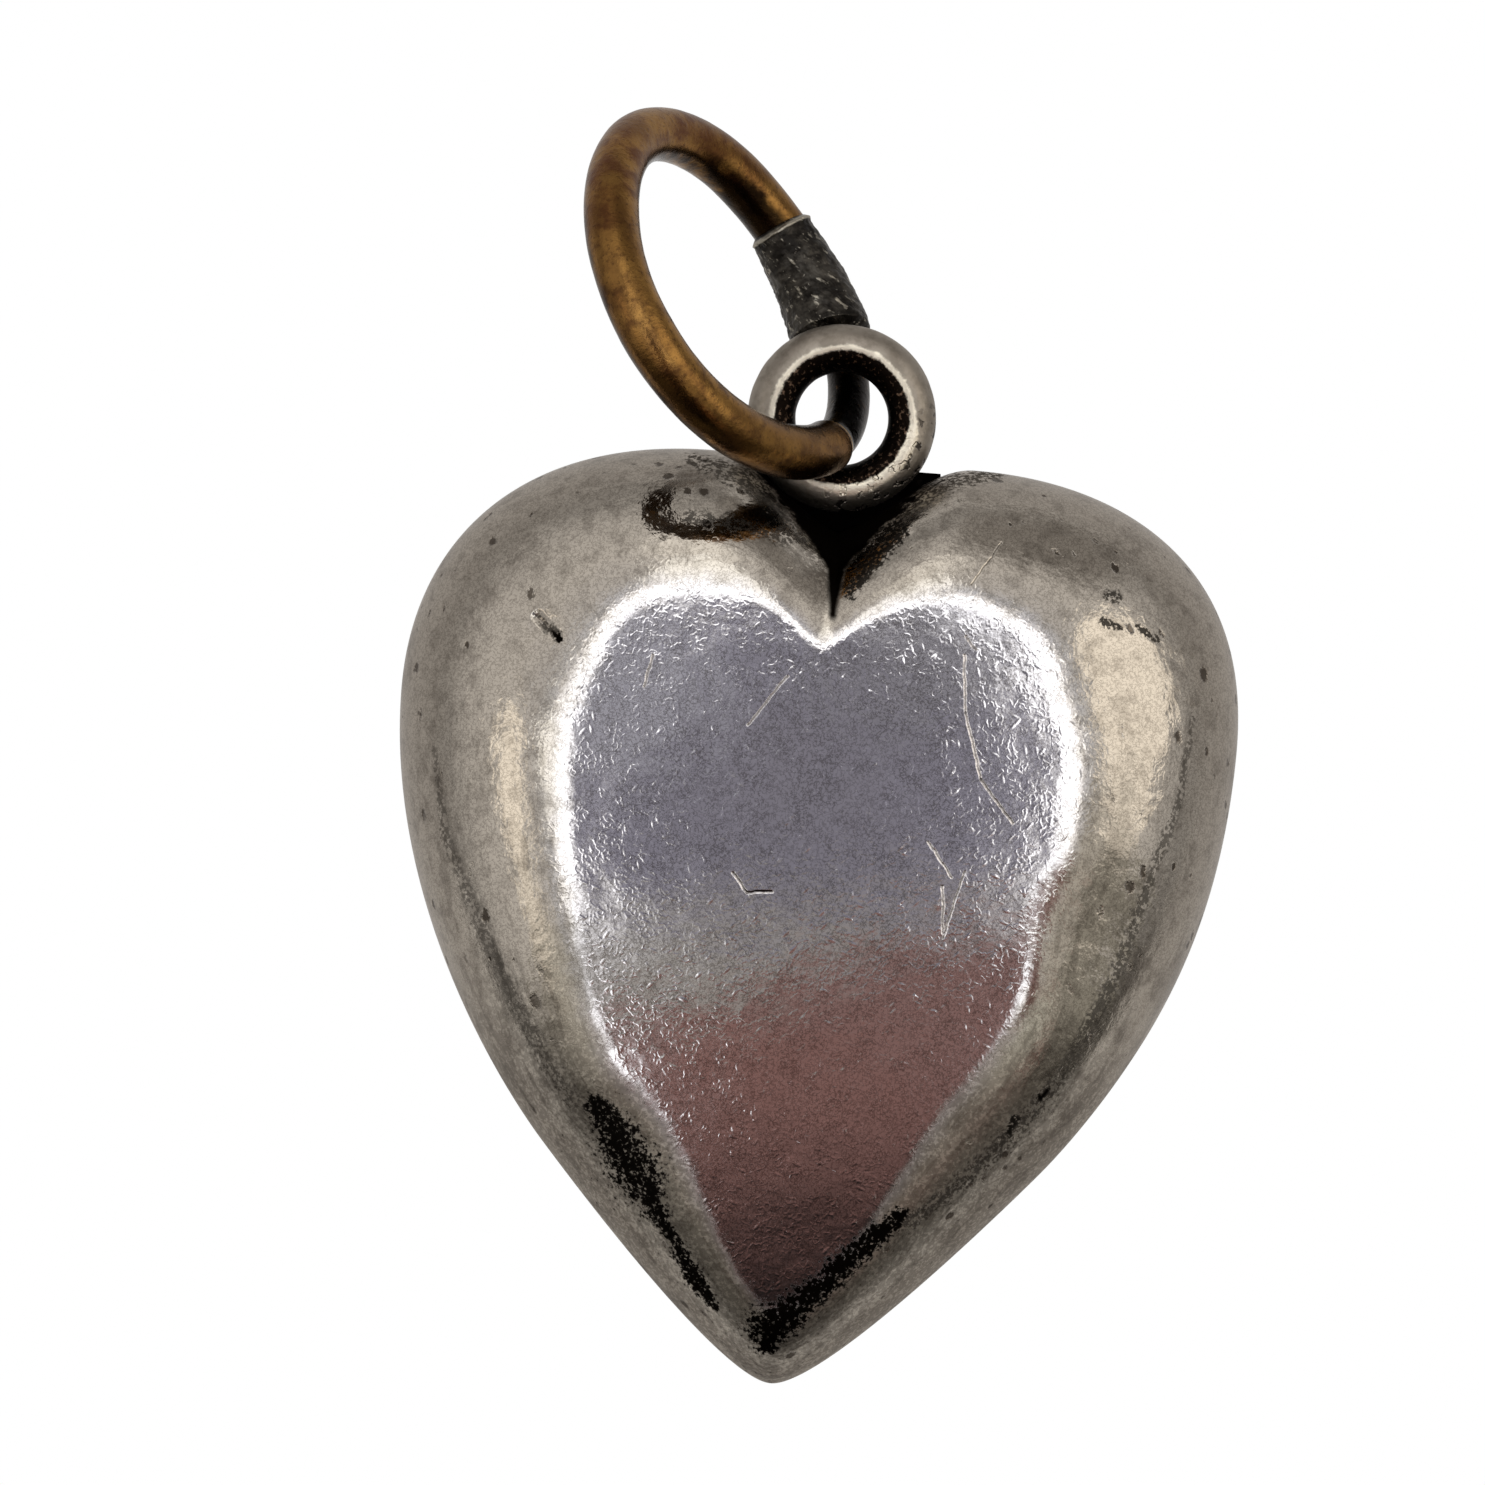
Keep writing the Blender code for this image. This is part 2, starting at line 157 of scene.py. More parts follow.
def geometryTree(name, *numbers):
    # a tree whose modifier takes these numbers and a material
    tree = bpy.data.node_groups.new(name, "GeometryNodeTree")
    kinds = {"Geometry": "Geometry", "Material": "Material", "Sides": "Int"}
    for label in ("Geometry", *numbers, "Material"):
        kind = "NodeSocket" + kinds.get(label, "Float")
        tree.interface.new_socket(label, in_out="INPUT", socket_type=kind)
    tree.interface.new_socket("Geometry", in_out="OUTPUT", socket_type="NodeSocketGeometry")
    add = partial(addNode, tree)
    return tree, add, add("NodeGroupInput").node.outputs


def endTree(add, geometry, rise, material):
    # moves the surface outwards by rise, and closes the tree
    normal = add("GeometryNodeInputNormal")
    offset = add("VectorMath SCALE", normal, rise)
    moved = add("GeometryNodeSetPosition", {"Geometry": geometry, "Offset": offset})
    whole = add("GeometryNodeRealizeInstances", add("GeometryNodeSetShadeSmooth", moved))
    dressed = add("GeometryNodeSetMaterial", {"Geometry": whole, "Material": material})
    add("NodeGroupOutput", dressed)


def runTree(host, tree, values):
    # gives the tree its values, and turns its result into a plain mesh under the host's name
    modifier = host.modifiers.new(tree.name, "NODES")
    modifier.node_group = tree
    for item in tree.interface.items_tree:
        if item.in_out == "INPUT" and item.name in values:
            modifier[item.identifier] = values[item.name]
    evaluated = host.evaluated_get(bpy.context.evaluated_depsgraph_get())
    mesh = bpy.data.meshes.new_from_object(evaluated)
    name = host.name
    bpy.data.objects.remove(host)
    mesh.name = name
    return linkObject(name, mesh)


# camera and studio

heartLow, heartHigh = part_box("front_shell")
heartAxis = (heartLow.x + heartHigh.x) / 2
seamPlane = (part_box("back_shell")[0].y + heartHigh.y) / 2
tipHeight = heartLow.z
heartShift = 0.09  # mm, to the picture's right of where the solids are
heartOrigin = Vector((heartAxis + heartShift * mm, seamPlane, tipHeight))  # the tip
bailCentre = Vector(frame["record"]["behaviour"]["joints"][0]["pos_m"])

cameraView = {
    "distance": 150.0,  # mm, from the seam plane
    "heightShown": 27.55,  # mm, of the seam plane
    "aim": (-1.455, 11.806),  # mm, across from the heart's axis and up from its tip
    "roll": 4.5,  # degrees
    "sensor": 36.0,
}
roll = math.radians(cameraView["roll"])
pictureRight = Vector((math.cos(roll), 0.0, math.sin(roll)))
pictureUp = Vector((-math.sin(roll), 0.0, math.cos(roll)))
towardsCamera = Vector((0.0, -1.0, 0.0))


def addCamera():
    data = bpy.data.cameras.new("camera")
    data.sensor_width = cameraView["sensor"]
    data.lens = cameraView["sensor"] * cameraView["distance"] / cameraView["heightShown"]
    data.clip_start = 0.01
    data.clip_end = 3.0
    camera = bpy.data.objects.new("camera", data)
    across, up = cameraView["aim"]
    aim = heartOrigin + Vector((across, 0.0, up)) * mm
    place = aim + towardsCamera * cameraView["distance"] * mm
    turn = Matrix((pictureRight, pictureUp, towardsCamera)).transposed().to_4x4()
    camera.matrix_world = Matrix.Translation(place) @ turn
    bpy.context.scene.collection.objects.link(camera)
    bpy.context.scene.camera = camera


def pictureDirection(around, angle):
    # around: degrees from the picture's right, by its top; angle: degrees away from the camera
    around, angle = math.radians(around), math.radians(angle)
    side = math.cos(around) * pictureRight + math.sin(around) * pictureUp
    return math.cos(angle) * towardsCamera + math.sin(angle) * side


# The tent is a pale sphere round the pendant, which the silver mirrors: grey where the camera
# stands, a white ring of light round that, warm walls, and a dim room below with warm pink
# patches in it. The pendant lies on white paper, which fills the far half.
tent = {
    "radius": 600.0,  # mm
    "full": 2.2,  # the strongest light in it, where white is 1
    "walls": [  # degrees from the camera, brightness, tint
        (0, 0.27, "f8f2ff"),
        (8, 0.29, "f2edff"),
        (10.5, 0.37, "f0ecff"),
        (12, 0.56, "fffaf8"),
        (12.9, 1.90, "fffdfa"),
        (13.6, 2.20, "ffffff"),
        (22, 2.20, "ffffff"),
        (24, 1.10, "fffaf6"),
        (27, 0.78, "fafaff"),
        (33, 0.72, "fffaf8"),
        (48, 0.76, "fff9f4"),
        (66, 0.70, "fff9f4"),
        (78, 0.54, "fff9f4"),
        (88, 0.38, "fff9f4"),
        (100, 0.39, "fff9f4"),
    ],
    "cards": [  # around, angle, inner and outer reach in degrees, brightness, tint
        (57, 9, 2.5, 6.5, 0.28, "faf6ff"),
        (148, 9.5, 3, 6.5, 0.43, "f8f6ff"),
        (12, 52, 18.5, 22.5, 1.45, "fff6ea"),
        (344, 50, 7, 14, 1.00, "fff6ea"),
        (182, 46, 6, 13, 1.45, "fff6ea"),
        (203, 44, 5, 12, 1.15, "fff6ea"),
        (92, 46, 5, 15, 1.20, "fffaf4"),
        (92, 29, 7, 12, 1.70, "fffdfa"),
        (176, 25, 3, 7, 1.70, "fffdfa"),
        (64, 78, 10, 30, 0.30, "fff6ee"),
        (274, 70, 58, 65, 0.38, "fff8ea"),  # the dim room below
        (270, 80, 44, 62, 0.10, "fff4e4"),
        (290, 38, 26, 28, 0.27, "ffc6ba"),  # the pink patches
        (258, 33, 16.5, 19, 0.28, "ffc0b2"),
        (236, 23, 3, 5.5, 2.20, "ffffff"),
        (318, 22, 2.5, 5, 1.90, "ffffff"),
        (221, 38, 5, 14, 0.72, "fffaf0"),
        (274, 44, 10, 28, 0.008, "ffffff"),
        (272, 74, 14, 30, 0.008, "ffffff"),
        (304, 30, 3, 9, 0.42, "fff4e4"),  # a paler one beside them
        (317, 41, 6, 13, 0.66, "fffcf0"),
        (342, 33, 5, 9, 0.62, "fff8ee"),
    ],
    "horizon": (76, 100, 0.07, "fff4ea"),  # a dark line low round the room: from, to
    "paper": (101, 105, 0.60, "fffaf6"),  # its edge, soft between these angles
    "paperLow": 0.78,  # how bright the paper is below the pendant, as a share
    "behind": (160, 176, 1.05, "ffffff"),  # brighter straight behind the pendant
}


def tentColor(brightness, tint):
    return [brightness / tent["full"] * c for c in linearColor(tint)[:3]] + [1.0]


def addTent():
    material, add = newMaterial("white tent")
    direction = add("VectorMath NORMALIZE", add("TexCoord", out="Object"))

    def awayFrom(middle):
        return add("Math ARCCOSINE", add("VectorMath DOT_PRODUCT", direction, tuple(middle)))

    away = awayFrom(towardsCamera)
    light = add("ValToRGB", add("Math DIVIDE", away, math.pi))
    elements = light.node.color_ramp.elements
    elements.remove(elements[1])
    for i, (angle, brightness, tint) in enumerate(tent["walls"]):
        element = elements[0] if i == 0 else elements.new(angle / 180)
        element.color = tentColor(brightness, tint)
    for around, angle, inner, outer, brightness, tint in tent["cards"]:
        apart = awayFrom(pictureDirection(around, angle))
        weight = add("MapRange SMOOTHSTEP", apart, math.radians(outer), math.radians(inner))
        light = add("Mix RGBA", weight, light, tentColor(brightness, tint))
    start, end, brightness, tint = tent["horizon"]
    soft = math.radians((end - start) / 3)
    rise = add("MapRange SMOOTHSTEP", away, math.radians(start), math.radians(start) + soft)
    fall = add("MapRange SMOOTHSTEP", away, math.radians(end), math.radians(end) - soft)
    down = add("VectorMath DOT_PRODUCT", direction, tuple(-pictureUp))
    weight = add("Math MULTIPLY", rise, fall)
    weight = add("Math MULTIPLY", weight, add("MapRange SMOOTHSTEP", down, 0.2, 0.6))
    light = add("Mix RGBA", weight, light, tentColor(brightness, tint))
    start, end, brightness, tint = tent["paper"]
    onPaper = add("MapRange SMOOTHSTEP", away, math.radians(start), math.radians(end))
    shade = add("MapRange SMOOTHSTEP", down, 0.1, 0.9, 1.0, tent["paperLow"])
    paper = add("VectorMath SCALE", tuple(tentColor(brightness, tint)[:3]), shade)
    start, end, brightness, tint = tent["behind"]
    behind = add("MapRange SMOOTHSTEP", away, math.radians(start), math.radians(end))
    paper = add("Mix RGBA", behind, paper, tentColor(brightness, tint))
    light = add("Mix RGBA", onPaper, light, paper)
    add("OutputMaterial", add("Emission", light, tent["full"]))
    shape = bmesh.new()
    bmesh.ops.create_icosphere(shape, subdivisions=4, radius=tent["radius"] * mm)
    mesh = bpy.data.meshes.new("tent")
    shape.to_mesh(mesh)
    shape.free()
    mesh.materials.append(material)
    made = linkObject("tent", mesh)
    made.visible_camera = False


floor = {  # mm
    "drop": 80.0,
    "front": 25.0,
    "reach": 300.0,
    "color": "f2f1ef",
    "roughness": 0.7,
    "glow": 0.12,
}


def addFloor():
    material, add = newMaterial("pale floor")
    path = add("LightPath").node.outputs
    seen = add("Math MAXIMUM", path["Is Camera Ray"], path["Is Glossy Ray"])
    seen = add("Math MAXIMUM", seen, path["Is Transmission Ray"])
    look = {"Base Color": linearColor(floor["color"]), "Roughness": floor["roughness"]}
    look["Emission Color"] = linearColor("ffffff")
    look["Emission Strength"] = add("Math MULTIPLY", seen, floor["glow"])
    add("OutputMaterial", add("BsdfPrincipled", look))
    low = tipHeight - floor["drop"] * mm
    near, far = floor["front"] * mm, floor["reach"] * mm
    corners = [(-far, near, low), (far, near, low), (far, far, low), (-far, far, low)]
    mesh = bpy.data.meshes.new("floor")
    mesh.from_pydata(corners, [], [(0, 1, 2, 3)])
    mesh.materials.append(material)
    linkObject("floor", mesh)


def whitenWorld():
    world = bpy.data.worlds.new("white room")
    bpy.context.scene.world = world
    world.use_nodes = True
    world.node_tree.nodes["Background"].inputs["Color"].default_value = (1.0, 1.0, 1.0, 1.0)


addCamera()
addTent()
addFloor()
whitenWorld()
bpy.context.scene.view_settings.view_transform = "Standard"
print("camera and studio made")


# half shells of the heart

heart = {  # mm
    "width": (heartHigh.x - heartLow.x) / mm,
    "height": (heartHigh.z - heartLow.z) / mm,
    "thickness": (heartHigh.y - heartLow.y) / mm,  # of one half, crown to seam
    "widestHeight": 12.30,
    "lobeSpacing": 4.87,
    "cleftDepth": 1.35,
    "flankWidth": 9.18,
    "flankHeight": 4.17,
    "flankAngle": math.radians(41.05),
    "cleftAngle": math.radians(68.0),
    "handlesAfter": [0.88, 1.49, 2.83, 0.83],  # tip, flank, side, lobe
    "handlesBefore": [1.49, 3.79, 3.51, 0.95],  # flank, side, lobe, cleft
    "shoulder": {"tip": 1.55, "flank": 2.05, "side": 3.40, "lobe": 2.72, "cleft": 2.22},
    "sideDrop": 0.60,
    "faceCleftAngle": math.radians(54.0),
    "lobeShift": 0.20,
    "crownHeight": 10.80,
    "domeSpan": (19.0, 15.5),
    "wall": 0.38,
    "edgeRound": 0.04,  # at the seam
    "seamFilm": 0.06,  # between the rims, filled with solder
    "pressed": {"depth": 0.15, "height": 11.8, "reach": 5.0},  # one side, knocked in a little
    "sharpFrom": math.radians(50),  # edges this sharp are kept
    "dipRound": (6, 60),  # points of the contour, and how many times they are evened out
    "uneven": [  # the contour's own bends: degrees round the crown, how far each way, mm outwards
        (27, 13, -0.20),
        (68, 26, 0.20),
        (96, 13, -0.22),
        (153, 17, -0.20),
        (252, 18, -0.36),
        (300, 28, -0.36),
        (336, 22, -0.36),
    ],
}
shellMesh = {  # rings are on the shoulder and on the face
    "stretches": [60, 60, 84, 52],
    "outerRings": (46, 58),
    "innerRings": (10, 6),
}


def bezierPoints(a, b, c, d, count):
    t = (np.arange(count) / count)[:, None]
    return (1 - t) ** 3 * a + 3 * (1 - t) ** 2 * t * b + 3 * (1 - t) * t * t * c + t**3 * d


def heartKnots():
    points = np.array([
        (0.0, 0.0),
        (heart["flankWidth"] / 2, heart["flankHeight"]),
        (heart["width"] / 2, heart["widestHeight"]),
        (heart["lobeSpacing"] / 2, heart["height"]),
        (0.0, heart["height"] - heart["cleftDepth"]),
    ])
    flank, cleft = heart["flankAngle"], heart["cleftAngle"]
    directions = np.array([
        (1.0, 0.0),
        (math.sin(flank), math.cos(flank)),
        (0.0, 1.0),
        (-1.0, 0.0),
        (-math.sin(cleft), -math.cos(cleft)),
    ])
    return points, directions


def closedCurve(points, directions, scales):
    right = []
    for i, count in enumerate(shellMesh["stretches"]):
        start, end = points[i], points[i + 1]
        after = start + heart["handlesAfter"][i] * scales[i] * directions[i]
        before = end - heart["handlesBefore"][i] * scales[i] * directions[i + 1]
        right.append(bezierPoints(start, after, before, end, count))
    right = np.vstack(right)
    left = right[1:][::-1] * (-1, 1)
    return np.vstack([right, points[-1:], left])


def pressSide(points):
    pressed = heart["pressed"]
    along = np.clip(1 - np.abs(points[:, 1] - pressed["height"]) / pressed["reach"], 0, 1)
    across = np.clip(points[:, 0] / (heart["width"] / 2), 0, 1)
    moved = points.copy()
    moved[:, 0] -= pressed["depth"] * along**2 * (3 - 2 * along) * across
    return moved


def roundDip(points):
    # softens the contour's corner below the cleft
    corner = len(points) // 2
    reach, times = heart["dipRound"]
    moved = points.copy()
    for _ in range(times):
        near = moved[corner - reach - 1 : corner + reach + 2]
        moved[corner - reach : corner + reach + 1] = (near[:-2] + 2 * near[1:-1] + near[2:]) / 4
    return moved


def bendContour(points):
    crown = np.array([0.0, heart["crownHeight"]])
    way = points - crown
    around = np.degrees(np.arctan2(way[:, 1], way[:, 0]))
    shift = np.zeros(len(points))
    for middle, reach, outwards in heart["uneven"]:
        apart = np.abs((around - middle + 180) % 360 - 180)
        shift += outwards * (1 + np.cos(np.pi * np.clip(apart / reach, 0, 1))) / 2
    return points + way / np.linalg.norm(way, axis=1)[:, None] * shift[:, None]


def outlineAndContour():
    points, directions = heartKnots()
    flank = heart["flankAngle"]
    inset = heart["shoulder"]
    moved = points + np.array([
        (0.0, inset["tip"]),
        (-inset["flank"] * math.cos(flank), inset["flank"] * math.sin(flank)),
        (-inset["side"], -heart["sideDrop"]),
        (-heart["lobeShift"], -inset["lobe"]),
        (0.0, -inset["cleft"]),
    ])
    chords = np.linalg.norm(np.diff(points, axis=0), axis=1)
    scales = np.linalg.norm(np.diff(moved, axis=0), axis=1) / chords
    faceDirections = directions.copy()
    faceDirections[-1] = (-math.sin(heart["faceCleftAngle"]), -math.cos(heart["faceCleftAngle"]))
    outline = closedCurve(points, directions, np.ones(4))
    contour = roundDip(closedCurve(moved, faceDirections, scales))
    return pressSide(outline), bendContour(pressSide(contour))


def domeHeight(points):
    across = points[..., 0] / heart["domeSpan"][0]
    along = (points[..., 1] - heart["crownHeight"]) / heart["domeSpan"][1]
    return heart["thickness"] * (1 - across**2 - along**2)


def shellRings(depth, shoulderRings, faceRings):
    # rings of (x, height, z) from the seam to the crown, for a surface this deep, with the
    # place of each: 1 at the seam, 0 where the shoulder meets the face, -1 at the crown
    outline, contour = outlineAndContour()
    way = contour - outline
    rim = outline + way / np.linalg.norm(way, axis=1)[:, None] * depth
    rings, places = [], []
    for turn in np.linspace(0.0, math.pi / 2, shoulderRings + 1):
        plan = contour + (rim - contour) * math.cos(turn)
        rise = (domeHeight(plan) - depth) * math.sin(turn)
        rings.append(np.column_stack([plan[:, 0], rise, plan[:, 1]]))
        places.append(math.cos(turn))
    crown = np.array([0.0, heart["crownHeight"]])
    for share in np.linspace(1.0, 0.0, faceRings + 1)[1:-1]:
        plan = crown + (contour - crown) * share
        rings.append(np.column_stack([plan[:, 0], domeHeight(plan) - depth, plan[:, 1]]))
        places.append(share - 1.0)
    return rings, places


def ringFaces(first, second, count):
    i = np.arange(count)
    j = (i + 1) % count
    return np.column_stack([first + i, first + j, second + j, second + i]).tolist()


def shellSurface(depth, shoulderRings, faceRings, lift):
    rings, places = shellRings(depth, shoulderRings, faceRings)
    count = len(rings[0])
    flat = rings[0].copy()
    if depth == 0.0:  # the outer edge is rounded over where it meets the seam
        start = heart["edgeRound"]
        inward = rings[-1].mean(axis=0) - flat
        flat += inward / np.linalg.norm(inward[:, [0, 2]], axis=1)[:, None] * start * (1, 0, 1)
        keep = [k for k, ring in enumerate(rings) if k == 0 or ring[:, 1].min() > lift + start]
        rings = [rings[k] for k in keep]
        places = [places[k] for k in keep]
        rings[0][:, 1] = lift + start
        rings.insert(0, flat)
        places.insert(0, 1.0)
    rings[0][:, 1] = lift
    crown = np.array([[0.0, heart["thickness"] - depth, heart["crownHeight"]]])
    points = np.vstack(rings + [crown])
    faces = []
    for k in range(len(rings) - 1):
        faces += ringFaces(k * count, (k + 1) * count, count)
    last = (len(rings) - 1) * count
    faces += [(last + i, last + (i + 1) % count, len(points) - 1) for i in range(count)]
    place = np.concatenate([np.repeat(places, count), [-1.0]])
    return points, faces, place, count


# Black on the front, partly stains in its hollows and partly painted shade, in lines along the
# shoulders, near the tip and round the bail: how strong, and stops of across, up and half width.
# Places on the front, here and below, are across and up in mm from the heart's tip.
stainsAndShade = [
    (0.70, [(-3.62, 5.02, 0.16), (-3.14, 4.40, 0.38), (-2.76, 3.78, 0.42), (-2.42, 3.28, 0.24),
            (-2.16, 2.86, 0.10), (-1.84, 2.36, 0.15), (-1.54, 1.92, 0.17), (-1.14, 1.44, 0.08)]),
    (0.78, [(2.10, 3.40, 0.16), (1.08, 2.38, 0.24), (0.26, 1.50, 0.28), (-0.14, 1.16, 0.38),
            (-0.13, 0.84, 0.18)]),
    # a painted shadow line down the right shoulder
    (0.46, [(6.74, 12.98, 0.05), (6.59, 11.33, 0.09), (6.07, 9.50, 0.12), (5.58, 7.78, 0.14),
            (4.92, 6.33, 0.17), (4.18, 5.22, 0.18), (3.33, 4.23, 0.16), (2.23, 3.25, 0.14)]),
    (0.42, [(-7.10, 11.35, 0.05), (-6.77, 9.72, 0.09), (-5.91, 7.97, 0.14), (-5.05, 6.40, 0.15),
            (-4.05, 5.02, 0.15)]),
    (0.75, [(4.66, 5.96, 0.10), (4.50, 5.74, 0.14)]),
    (0.65, [(4.14, 5.30, 0.15), (3.98, 5.04, 0.12)]),
    (0.50, [(-5.38, 13.82, 0.05), (-5.00, 13.50, 0.12)]),
    (0.85, [(-5.02, 13.51, 0.09), (-4.91, 13.42, 0.07)]),
    (0.60, [(4.96, 14.52, 0.09), (5.20, 14.45, 0.07), (5.32, 14.43, 0.03)]),
    (0.60, [(5.55, 14.50, 0.05), (5.95, 14.28, 0.07)]),
    (0.58, [(4.98, 15.00, 0.09), (5.14, 14.99, 0.11)]),
    (0.46, [(-2.75, 16.90, 0.16), (-1.42, 16.60, 0.30)]),
    (0.46, [(-2.75, 15.86, 0.13), (-1.70, 15.74, 0.17), (-1.02, 15.66, 0.24)]),
    (0.46, [(0.79, 16.15, 0.28), (1.97, 16.88, 0.20), (2.90, 17.15, 0.10)]),
    (0.62, [(0.28, 14.65, 0.10), (0.55, 15.15, 0.16), (1.05, 15.95, 0.24)]),
]


def stainsAndShadeAt(plan):
    # how many half widths away the nearest line of stain and painted shade is, and how strong it
    # is
    away, strengths = np.full(len(plan), 3.0), np.zeros(len(plan))
    for strength, stops in stainsAndShade:
        for start, end in zip(np.array(stops), np.array(stops)[1:]):
            way = (end - start)[:2]
            share = np.clip((plan - start[:2]) @ way / (way @ way), 0, 1)
            apart = np.linalg.norm(plan - start[:2] - share[:, None] * way, axis=1)
            apart /= start[2] + share * (end - start)[2]
            nearer = apart < away
            away[nearer] = apart[nearer]
            strengths[nearer] = strength
    return away, strengths


def shellHost(name, facing):
    lift, wall = heart["seamFilm"] / 2, heart["wall"]
    outer, outerFaces, outerPlace, count = shellSurface(0.0, *shellMesh["outerRings"], lift)
    inner, innerFaces, innerPlace, _ = shellSurface(wall, *shellMesh["innerRings"], lift)
    start = len(outer)
    faces = list(outerFaces)
    faces += [tuple(start + i for i in reversed(face)) for face in innerFaces]
    faces += [tuple(reversed(face)) for face in ringFaces(0, start, count)]
    points = np.vstack([outer, inner])
    if facing > 0:
        faces = [tuple(reversed(face)) for face in faces]
    away, strengths = stainsAndShadeAt(points[:, [0, 2]])
    points = points * (mm, facing * mm, mm) + np.array(heartOrigin)
    mesh = bpy.data.meshes.new(name)
    mesh.from_pydata(points.tolist(), [], faces)
    mesh.shade_smooth()
    mesh.set_sharp_from_angle(angle=heart["sharpFrom"])
    # the way round the outline from the tip to the cleft, in mm, alike on both sides
    steps = np.linalg.norm(np.diff(outer[:count], axis=0, append=outer[:1]), axis=1)
    way = np.cumsum(steps) - steps
    way = np.minimum(way, steps.sum() - way)
    storeValues(
        mesh,
        place=np.concatenate([outerPlace, innerPlace]),
        outside=np.concatenate([np.ones(len(outer)), np.zeros(len(inner))]),
        along=np.concatenate([np.resize(way, len(outer)), np.resize(way, len(inner))]),
        stainAway=away,
        stainStrength=strengths,
    )
    return linkObject(name, mesh)


wear = {  # mm, under the names of the tree's inputs
    "Wave Height": 0.010,
    "Wave Length": 2.2,
    "Ripple Height": 0.005,
    "Ripple Length": 0.8,
    "Pit Depth": 0.02,
    "Pit Size": 0.55,
}
dents = [((-5.2, 13.7), 0.40, 0.05)]  # on the front: place, radius, depth


def wornShellTree(dentPlaces):
    tree, add, given = geometryTree("worn shell", *wear, "Seed")
    position = add("GeometryNodeInputPosition")
    place = add("GeometryNodeInputNamedAttribute FLOAT", "place")
    outside = add("GeometryNodeInputNamedAttribute FLOAT", "outside")
    fromRim = add("MapRange SMOOTHSTEP", place, 1.0, 0.86)  # nothing moves at the seam

    def layer(height, length, detail):
        scale = add("Math DIVIDE", 1.0, given[length])
        made = add("TexNoise 4D", position, given["Seed"], scale, detail)
        return centred(add, made, add("Math MULTIPLY", given[height], 2.0))

    rise = layer("Wave Height", "Wave Length", 1.0)
    rise = add("Math ADD", rise, layer("Ripple Height", "Ripple Length", 2.0))
    scale = add("Math DIVIDE", 1.0, given["Pit Size"])
    apart = add("TexVoronoi 4D", position, given["Seed"], scale)
    chosen = add("FunctionNodeSeparateColor", apart.node.outputs["Color"])
    hole = add("MapRange SMOOTHSTEP", apart, 0.32, 0.10)
    hole = add("Math MULTIPLY", hole, add("MapRange SMOOTHSTEP", chosen, 0.55, 0.85))
    hole = add("Math MULTIPLY", hole, add("MapRange SMOOTHSTEP", place, 0.30, 0.80))
    rise = add("Math SUBTRACT", rise, add("Math MULTIPLY", hole, given["Pit Depth"]))
    for centre, radius, depth in dentPlaces:
        apart = add("VectorMath DISTANCE", position, tuple(centre))
        dent = add("MapRange SMOOTHSTEP", apart, radius * mm, 0.0, 0.0, depth * mm)
        rise = add("Math SUBTRACT", rise, dent)
    rise = add("Math MULTIPLY", add("Math MULTIPLY", rise, fromRim), outside)
    endTree(add, given["Geometry"], rise, given["Material"])
    return tree


# Sterling silver sheet, struck and once polished: a soft mirror on the face, broken all over by
# fine short scratches, a duller, warmer, pitted grey towards the seam, and black sulphide in the
# cleft. On the front, black is also laid in lines along the shoulders, near the tip and round the
# bail, partly stains and partly painted shade. Sizes are in mm, and a place on the shell runs from
# -1 at the crown, by 0 where the face ends, to 1 at the seam.
silver = {
    "face": "d6d4d7",
    "slope": "c8c2b8",
    "rim": "b4ada3",
    "tarnish": "4c443c",
    # black sulphide in the cleft, also used for the front's black stains and painted shade
    "sulphideAndShade": "0d0a08",
    "slopeFrom": (-0.02, 0.22),  # places on the shell
    "rimFrom": (0.62, 0.86),
    "roughFrom": (0.18, 0.40),
    "pitsFrom": (0.15, 0.60),
    "roughness": (0.10, 0.09, 0.34),  # face, shoulder, rim
    "matte": 0.26,  # how much rougher it is low on the shoulders
    "lowFrom": (8.0, 5.0),  # heights above the tip
    "streaksFrom": (14.0, 9.0),
    "cloud": 1.6,  # sizes of the tarnish's patterns
    "mottle": 0.35,
    "grain": 0.07,
    "peel": (0.13, 0.0015, 0.0045),  # length, and height on the face and on the shoulder
    "lumps": (0.34, 0.003, 0.014),
    "squiggles": (0.14, 0.11, 0.0008),  # length, width as a share of it, height
    "gaps": 0.3,  # between the squiggles
    "flecks": (0.10, 2.6, 0.006),  # width, how many times longer, height
    "fleckTurns": (-40, 15, 70),  # degrees
    "pits": (0.28, 0.080, 0.012),  # how far apart, radius, depth
    "streaks": (0.16, 9.0, 0.008),  # width, how many times longer, height
    "shoulderWidth": 2.6,  # flattened out, for the streaks
}
# scratches: half width, depth, and places along each
marks = [
    (0.035, 0.014, [(2.45, 13.71), (2.55, 12.66), (2.92, 11.47), (3.56, 10.73)]),
    (0.03, 0.010, [(2.05, 10.27), (2.54, 9.65)]),
    (0.03, 0.010, [(2.76, 9.78), (2.46, 8.55)]),
    (0.035, 0.014, [(2.38, 9.49), (2.45, 8.64)]),
    (0.035, 0.012, [(2.46, 14.06), (2.65, 13.82)]),
    (0.035, 0.014, [(-3.32, 12.69), (-3.20, 13.26)]),
    (0.03, 0.010, [(-1.38, 12.13), (-0.73, 13.08)]),
    (0.04, 0.014, [(-1.44, 9.42), (-1.16, 9.10), (-0.71, 9.14)]),
    (0.16, 0.045, [(-5.36, 13.80), (-4.98, 13.48)]),
    (0.03, 0.010, [(2.98, 15.81), (2.48, 15.02)]),
]
# the cleft's black stain widens upwards from here
cleft = {"foot": 14.2, "thin": 0.05, "widens": 0.12, "bend": 0.90, "flares": 0.65, "curve": 1.1}


